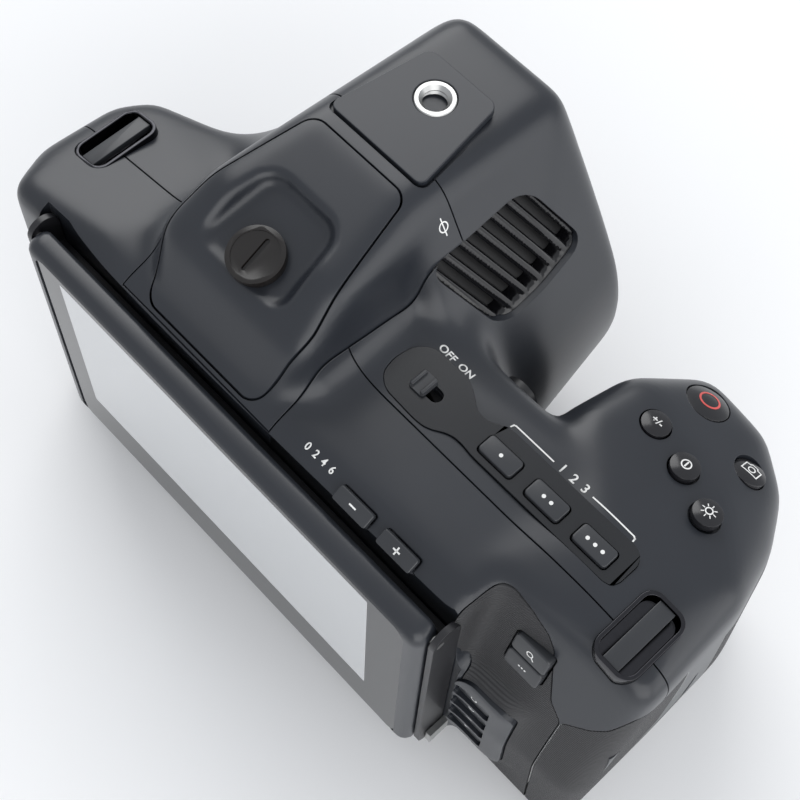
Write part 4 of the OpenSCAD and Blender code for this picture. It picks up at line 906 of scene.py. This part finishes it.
rubber_finish = ribbed_rubber("ribbed_rubber", (0.022, 0.022, 0.024))
THUMB = [(-78.6, 95.0), (-79.6, 96.0), (-82.6, 95.9), (-88.0, 94.4), (-93.0, 91.8), (-95.6, 88.5),
         (-96.6, 85.0), (-100.4, 73.0), (-104.4, 68.4), (-104.9, 5.0), (-86.0, 5.0), (-83.0, 26.0),
         (-83.2, 66.0), (-80.2, 70.5)]
SIDE = [(-105.4, 5.0), (-125.0, 5.0), (-125.0, 86.0), (-116.2, 83.6), (-113.5, 76.6), (-110.4, 72.8),
        (-105.1, 68.6)]


def stood(name, outline, y_front, y_back, r):
    """A plate that stands across the camera, with its outline seen from behind."""
    where = Matrix(((1, 0, 0, 0), (0, 0, 1, 0), (0, 1, 0, 0), (0, 0, 0, 1)))
    return outward(slab(name, outline, y_front, y_back, r, where))


def menu_window(at):
    return soft_block("w", 10.1, 6.4, -6, 5, 1.3, place(at, (-90, 0, 0)))


under = skin("under", form, low, STEP, -1.0)
NOSE = place((-89.85, 30.1, 44.85), (-90, 0, 0))
key_windows = [menu_window(at) for at in MENU_KEYS]
key_windows.append(soft_block("w", 10.1, 12.7, -6, 5, 1.3, place(
    [(a + b) / 2 for a, b in zip(*ZOOM_KEYS)], (ZOOM_LEAN - 90, 0, 0))))
y_back = 40
for name, outline, y_front in (("thumb_skin", THUMB, 14), ("side_skin", SIDE, 2.5)):
    pad = carve(stood(name, outline, y_front, y_back, 0.9), copy_of(outside, "o"), "INTERSECT")
    carve(pad, under, keep=True)
    if name == "thumb_skin":
        for w in key_windows + [soft_block("w", 15.9, 38.6, -9, 6, 4.8, NOSE, 8)]:
            carve(pad, w)
    else:
        carve(pad, soft_block("w", 11.1, 18.9, -4.85, 6, 3.5, lug_place(1), 8))
    for casing in (rear_casing, front_casing) if name == "side_skin" else (rear_casing,):
        seat = stood("w", grown(outline, 0.28), y_front - 0.28, y_back, 1.1)
        carve(casing, carve(seat, under, keep=True))
    dress(pad, rubber_finish, "camera_body", ["thumb_rubber"])
# The menu keys stand in a smooth raised nose in the rubber
nose = carve(skin("key_nose", finer(form), low, STEP / 2, 0.5), copy_of(under, "u"))
carve(nose, soft_block("w", 15.3, 38.0, -9, 6, 4.5, NOSE, 8), "INTERSECT")
for at in MENU_KEYS:
    carve(nose, menu_window(at))
dress(nose, casing_finish, "camera_body", ["thumb_rubber"])
grip_pad = carve(block_from("grip_skin", (-125, -65, 4.8), (-56.5, -12.6, 76.0)),
                 copy_of(outside, "o"), "INTERSECT")
grip_cut = block_from("w", (-125, -65, 4.55), (-56.2, -12.3, 76.25))
carve(grip_pad, under, keep=True)
carve(grip_pad, rod("w", 7.2, -2.5, 2.5, place((-83.07, -52.2, 60.45))))
carve(front_casing, carve(grip_cut, under, keep=True))
dress(grip_pad, rubber_finish, "camera_body", ["grip_rubber"])
drop(under)
smooth(front_casing)
smooth(rear_casing)

# --------------------------------------------------
# The keys behind: four menu keys in a block beside the screen, and two keys on the thumb rest.
# --------------------------------------------------
signs = {
    "focus_key": lambda: [ring_shape(0.75, 0.25)],
    "iris_key": lambda: [ring_shape(0.75, 0.25), dot_shape(0, 0, 0.3)],
    "menu_key": lambda: [flat_shape([(-0.8, y), (0.8, y)], 0.22) for y in (-0.55, 0, 0.55)],
    "play_key": lambda: [flat_shape([(-0.6, -0.75), (0.8, 0), (-0.6, 0.75)])],
    "zoom_key": lambda: [ring_shape(0.75, 0.25), flat_shape([(0.6, -0.6), (1.2, -1.2)], 0.28)],
    "rate_key": lambda: [dot_shape(x, 0, 0.25) for x in (-0.8, 0, 0.8)]}
for name, at in zip(signs, MENU_KEYS + ZOOM_KEYS):
    where = place(at, ((ZOOM_LEAN if at in ZOOM_KEYS else 0) - 90, 0, 0))
    key = soften(soft_block(name + "_cap", 9.3, 5.7, -1.6, 0.9, 1.1, where), 0.35)
    dress(key, key_finish, name, [name])
    mark(name + "_sign", signs[name](), where @ place((0, 0, 0.91)) @ place(turn=(0, 0, 180)), name)

# --------------------------------------------------
# The screen: a thin black housing on two hinges, with a glass front that mirrors the room.
# --------------------------------------------------
screen_field_low, ss = (-81, 32, 12.5), 0.8
axes_s, points_s = grid_points(screen_field_low, (51.5, 44.3, 96.5), ss)
shape_s = tuple(len(a) for a in axes_s)
px_, py_, pz_ = (points_s[k].reshape(shape_s) for k in range(3))
rim = rounded(np.abs(px_ + 14.75) - 63.25, np.abs(pz_ - 54.5) - 39.0, 3.4)
back_form = rounded(rim, np.abs(py_ - 38.15) - 3.15, 3.0)
box_form = np.where(py_ > 38.0, back_form, np.maximum(rim + 0.6 * np.maximum(0, (36.2 - py_)), 35.0 - py_))
screen_case = skin("screen_case", box_form.astype(np.float32), screen_field_low, ss)
carve(screen_case, block_from("half", (-90, 20, 0), (60, 35.05, 110)))
glass_place = place((-14.75, 41.3, 54.03), (-90, 0, 0))
carve(screen_case, soft_block("w", 118.6, 74.8, -0.8, 3, 3.1, glass_place, 6))
carve(screen_case, rod("w", 1.1, -70, 70, place((-14.75, 36.7, 89.7), (0, 90, 0))))
dress(screen_case, satin_plastic("screen_black", (0.022, 0.0245, 0.030), 0.3, 0.01, 0.15), "screen",
      ["screen_housing"])
border = satin_plastic("glass_border", (0.004, 0.004, 0.005), 0.06, 0.0, 0)
finish_nodes(border, "screen_glass")
panel_place = place((-13.5, 41.3, 61.0), (-90, 0, 0))
panel = soften(soft_block("light_panel", 99.6, 56.0, -0.36, -0.27, 0.4, panel_place), 0.02, 1)
panel_finish = bpy.data.materials.new("light_panel")
panel_finish.use_nodes = True
nodes, links = panel_finish.node_tree.nodes, panel_finish.node_tree.links
shader = nodes["Principled BSDF"]
where = nodes.new("ShaderNodeTexCoord")
drift = nodes.new("ShaderNodeTexNoise")
drift.inputs["Scale"].default_value = 9
tone = nodes.new("ShaderNodeValToRGB")
tone.color_ramp.elements[0].color = (0.5, 0.51, 0.52, 1)
tone.color_ramp.elements[1].color = (0.58, 0.59, 0.6, 1)
links.new(where.outputs["Object"], drift.inputs["Vector"])
links.new(drift.outputs["Fac"], tone.inputs["Fac"])
links.new(tone.outputs["Color"], shader.inputs["Base Color"])
shader.inputs["Roughness"].default_value = 0.12
dress(panel, panel_finish, "screen", angle=None)
bracket_finish = satin_plastic("bracket_black", (0.013, 0.013, 0.015), 0.35, 0.01, 0.2)
finish_nodes(bracket_finish, "screen_bracket")
finish_nodes(steel, "upper_hinges", "lower_hinges")

# --------------------------------------------------
# The rest of the frame keeps its solids' shapes, each with the finish of the real piece.
# --------------------------------------------------
plain_black = satin_plastic("plain_black", (0.014, 0.014, 0.016), 0.42, 0.02, 0.2)
door_rubber = satin_plastic("door_rubber", (0.022, 0.022, 0.024), 0.6, 0.04, 0.2)
board_green = satin_plastic("board_green", (0.02, 0.10, 0.045), 0.45, 0.03, 0)
gold = metal("contact_gold", (0.72, 0.52, 0.22), 0.28)
alloy = metal("cast_alloy", (0.42, 0.43, 0.44), 0.42)
filter_glass = satin_plastic("filter_glass", (0.03, 0.035, 0.045), 0.06, 0.0, 0)
pink_glass = satin_plastic("sensor_cover", (0.10, 0.05, 0.09), 0.05, 0.0, 0)
finish_nodes(plain_black, "base_plate", "front_dial", "fan_frame", "fan_rotor", "microphones",
             "release_button", "front_record_button", "battery")
finish_nodes(door_rubber, "port_door_upper", "port_door_lower")
finish_nodes(board_green, "main_board")
finish_nodes(pink_glass, "sensor_glass")
finish_nodes(filter_glass, "filter_slide")
finish_nodes(gold, "lens_contacts")
finish_nodes(alloy, "heat_sink", "card_reader", "port_jacks", "image_sensor")
finish_nodes(steel, "lens_mount_ring", "mount_screws", "lock_pin", "body_screws", "battery_latch")
drop(outside, inside)

# --------------------------------------------------
# The table, the lights and the camera. The camera stands where the photograph was taken from.
# --------------------------------------------------
bpy.ops.object.select_all(action="DESELECT")
bpy.ops.mesh.primitive_plane_add(size=6, location=(0, 0, -0.0002))
table = bpy.context.object
table.name = "table_top"
paper = bpy.data.materials.new("pale_paper")
paper.use_nodes = True
nodes, links = paper.node_tree.nodes, paper.node_tree.links
nodes["Principled BSDF"].inputs["Base Color"].default_value = (0.9, 0.9, 0.9, 1)
nodes["Principled BSDF"].inputs["Roughness"].default_value = 0.9
table.data.materials.append(paper)

world = bpy.data.worlds.new("studio")
bpy.context.scene.world = world
world.use_nodes = True
world.node_tree.nodes["Background"].inputs["Color"].default_value = (0.92, 0.95, 1.0, 1)
world.node_tree.nodes["Background"].inputs["Strength"].default_value = 0.68


def lamp(name, size, watts, at, aim, size_y=None):
    light = bpy.data.lights.new(name, "AREA")
    light.shape = "RECTANGLE"
    light.size, light.size_y = size, size_y or size
    light.energy = watts
    lamp_object = bpy.data.objects.new(name, light)
    bpy.context.scene.collection.objects.link(lamp_object)
    lamp_object.location = at
    lamp_object.rotation_euler = (Vector(aim) - Vector(at)).to_track_quat("-Z", "Y").to_euler()
    return lamp_object


lamp("window", 0.9, 7.5, (0.75, -0.55, 0.85), (0, 0, 0.05))
lamp("side", 0.8, 3.0, (-0.95, -0.35, 0.3), (-0.05, -0.02, 0.06))
lamp("fill", 1.4, 12.0, (-1.1, 0.75, 0.55), (0, 0, 0.05))

camera_data = bpy.data.cameras.new("photo_view")
camera_data.sensor_width = 36
camera_data.lens = 36 * 1529.0 / 800
camera = bpy.data.objects.new("photo_view", camera_data)
bpy.context.scene.collection.objects.link(camera)
bpy.context.scene.camera = camera
az, el, roll = 0.750081578, 1.10728432, 0.0720043751
look = -Vector((-math.sin(az) * math.cos(el), math.cos(az) * math.cos(el), math.sin(el)))
right = look.cross(Vector((0, 0, 1))).normalized()
up = right.cross(look)
across = math.cos(roll) * right + math.sin(roll) * up
upward = -math.sin(roll) * right + math.cos(roll) * up
camera.matrix_world = Matrix.Translation(Vector((-134.254, 111.805, 380.720)) * mm) @ Matrix(
    (across, upward, -look)).transposed().to_4x4()
camera_data.clip_start, camera_data.clip_end = 0.01, 20
bpy.context.scene.view_settings.view_transform = "Standard"
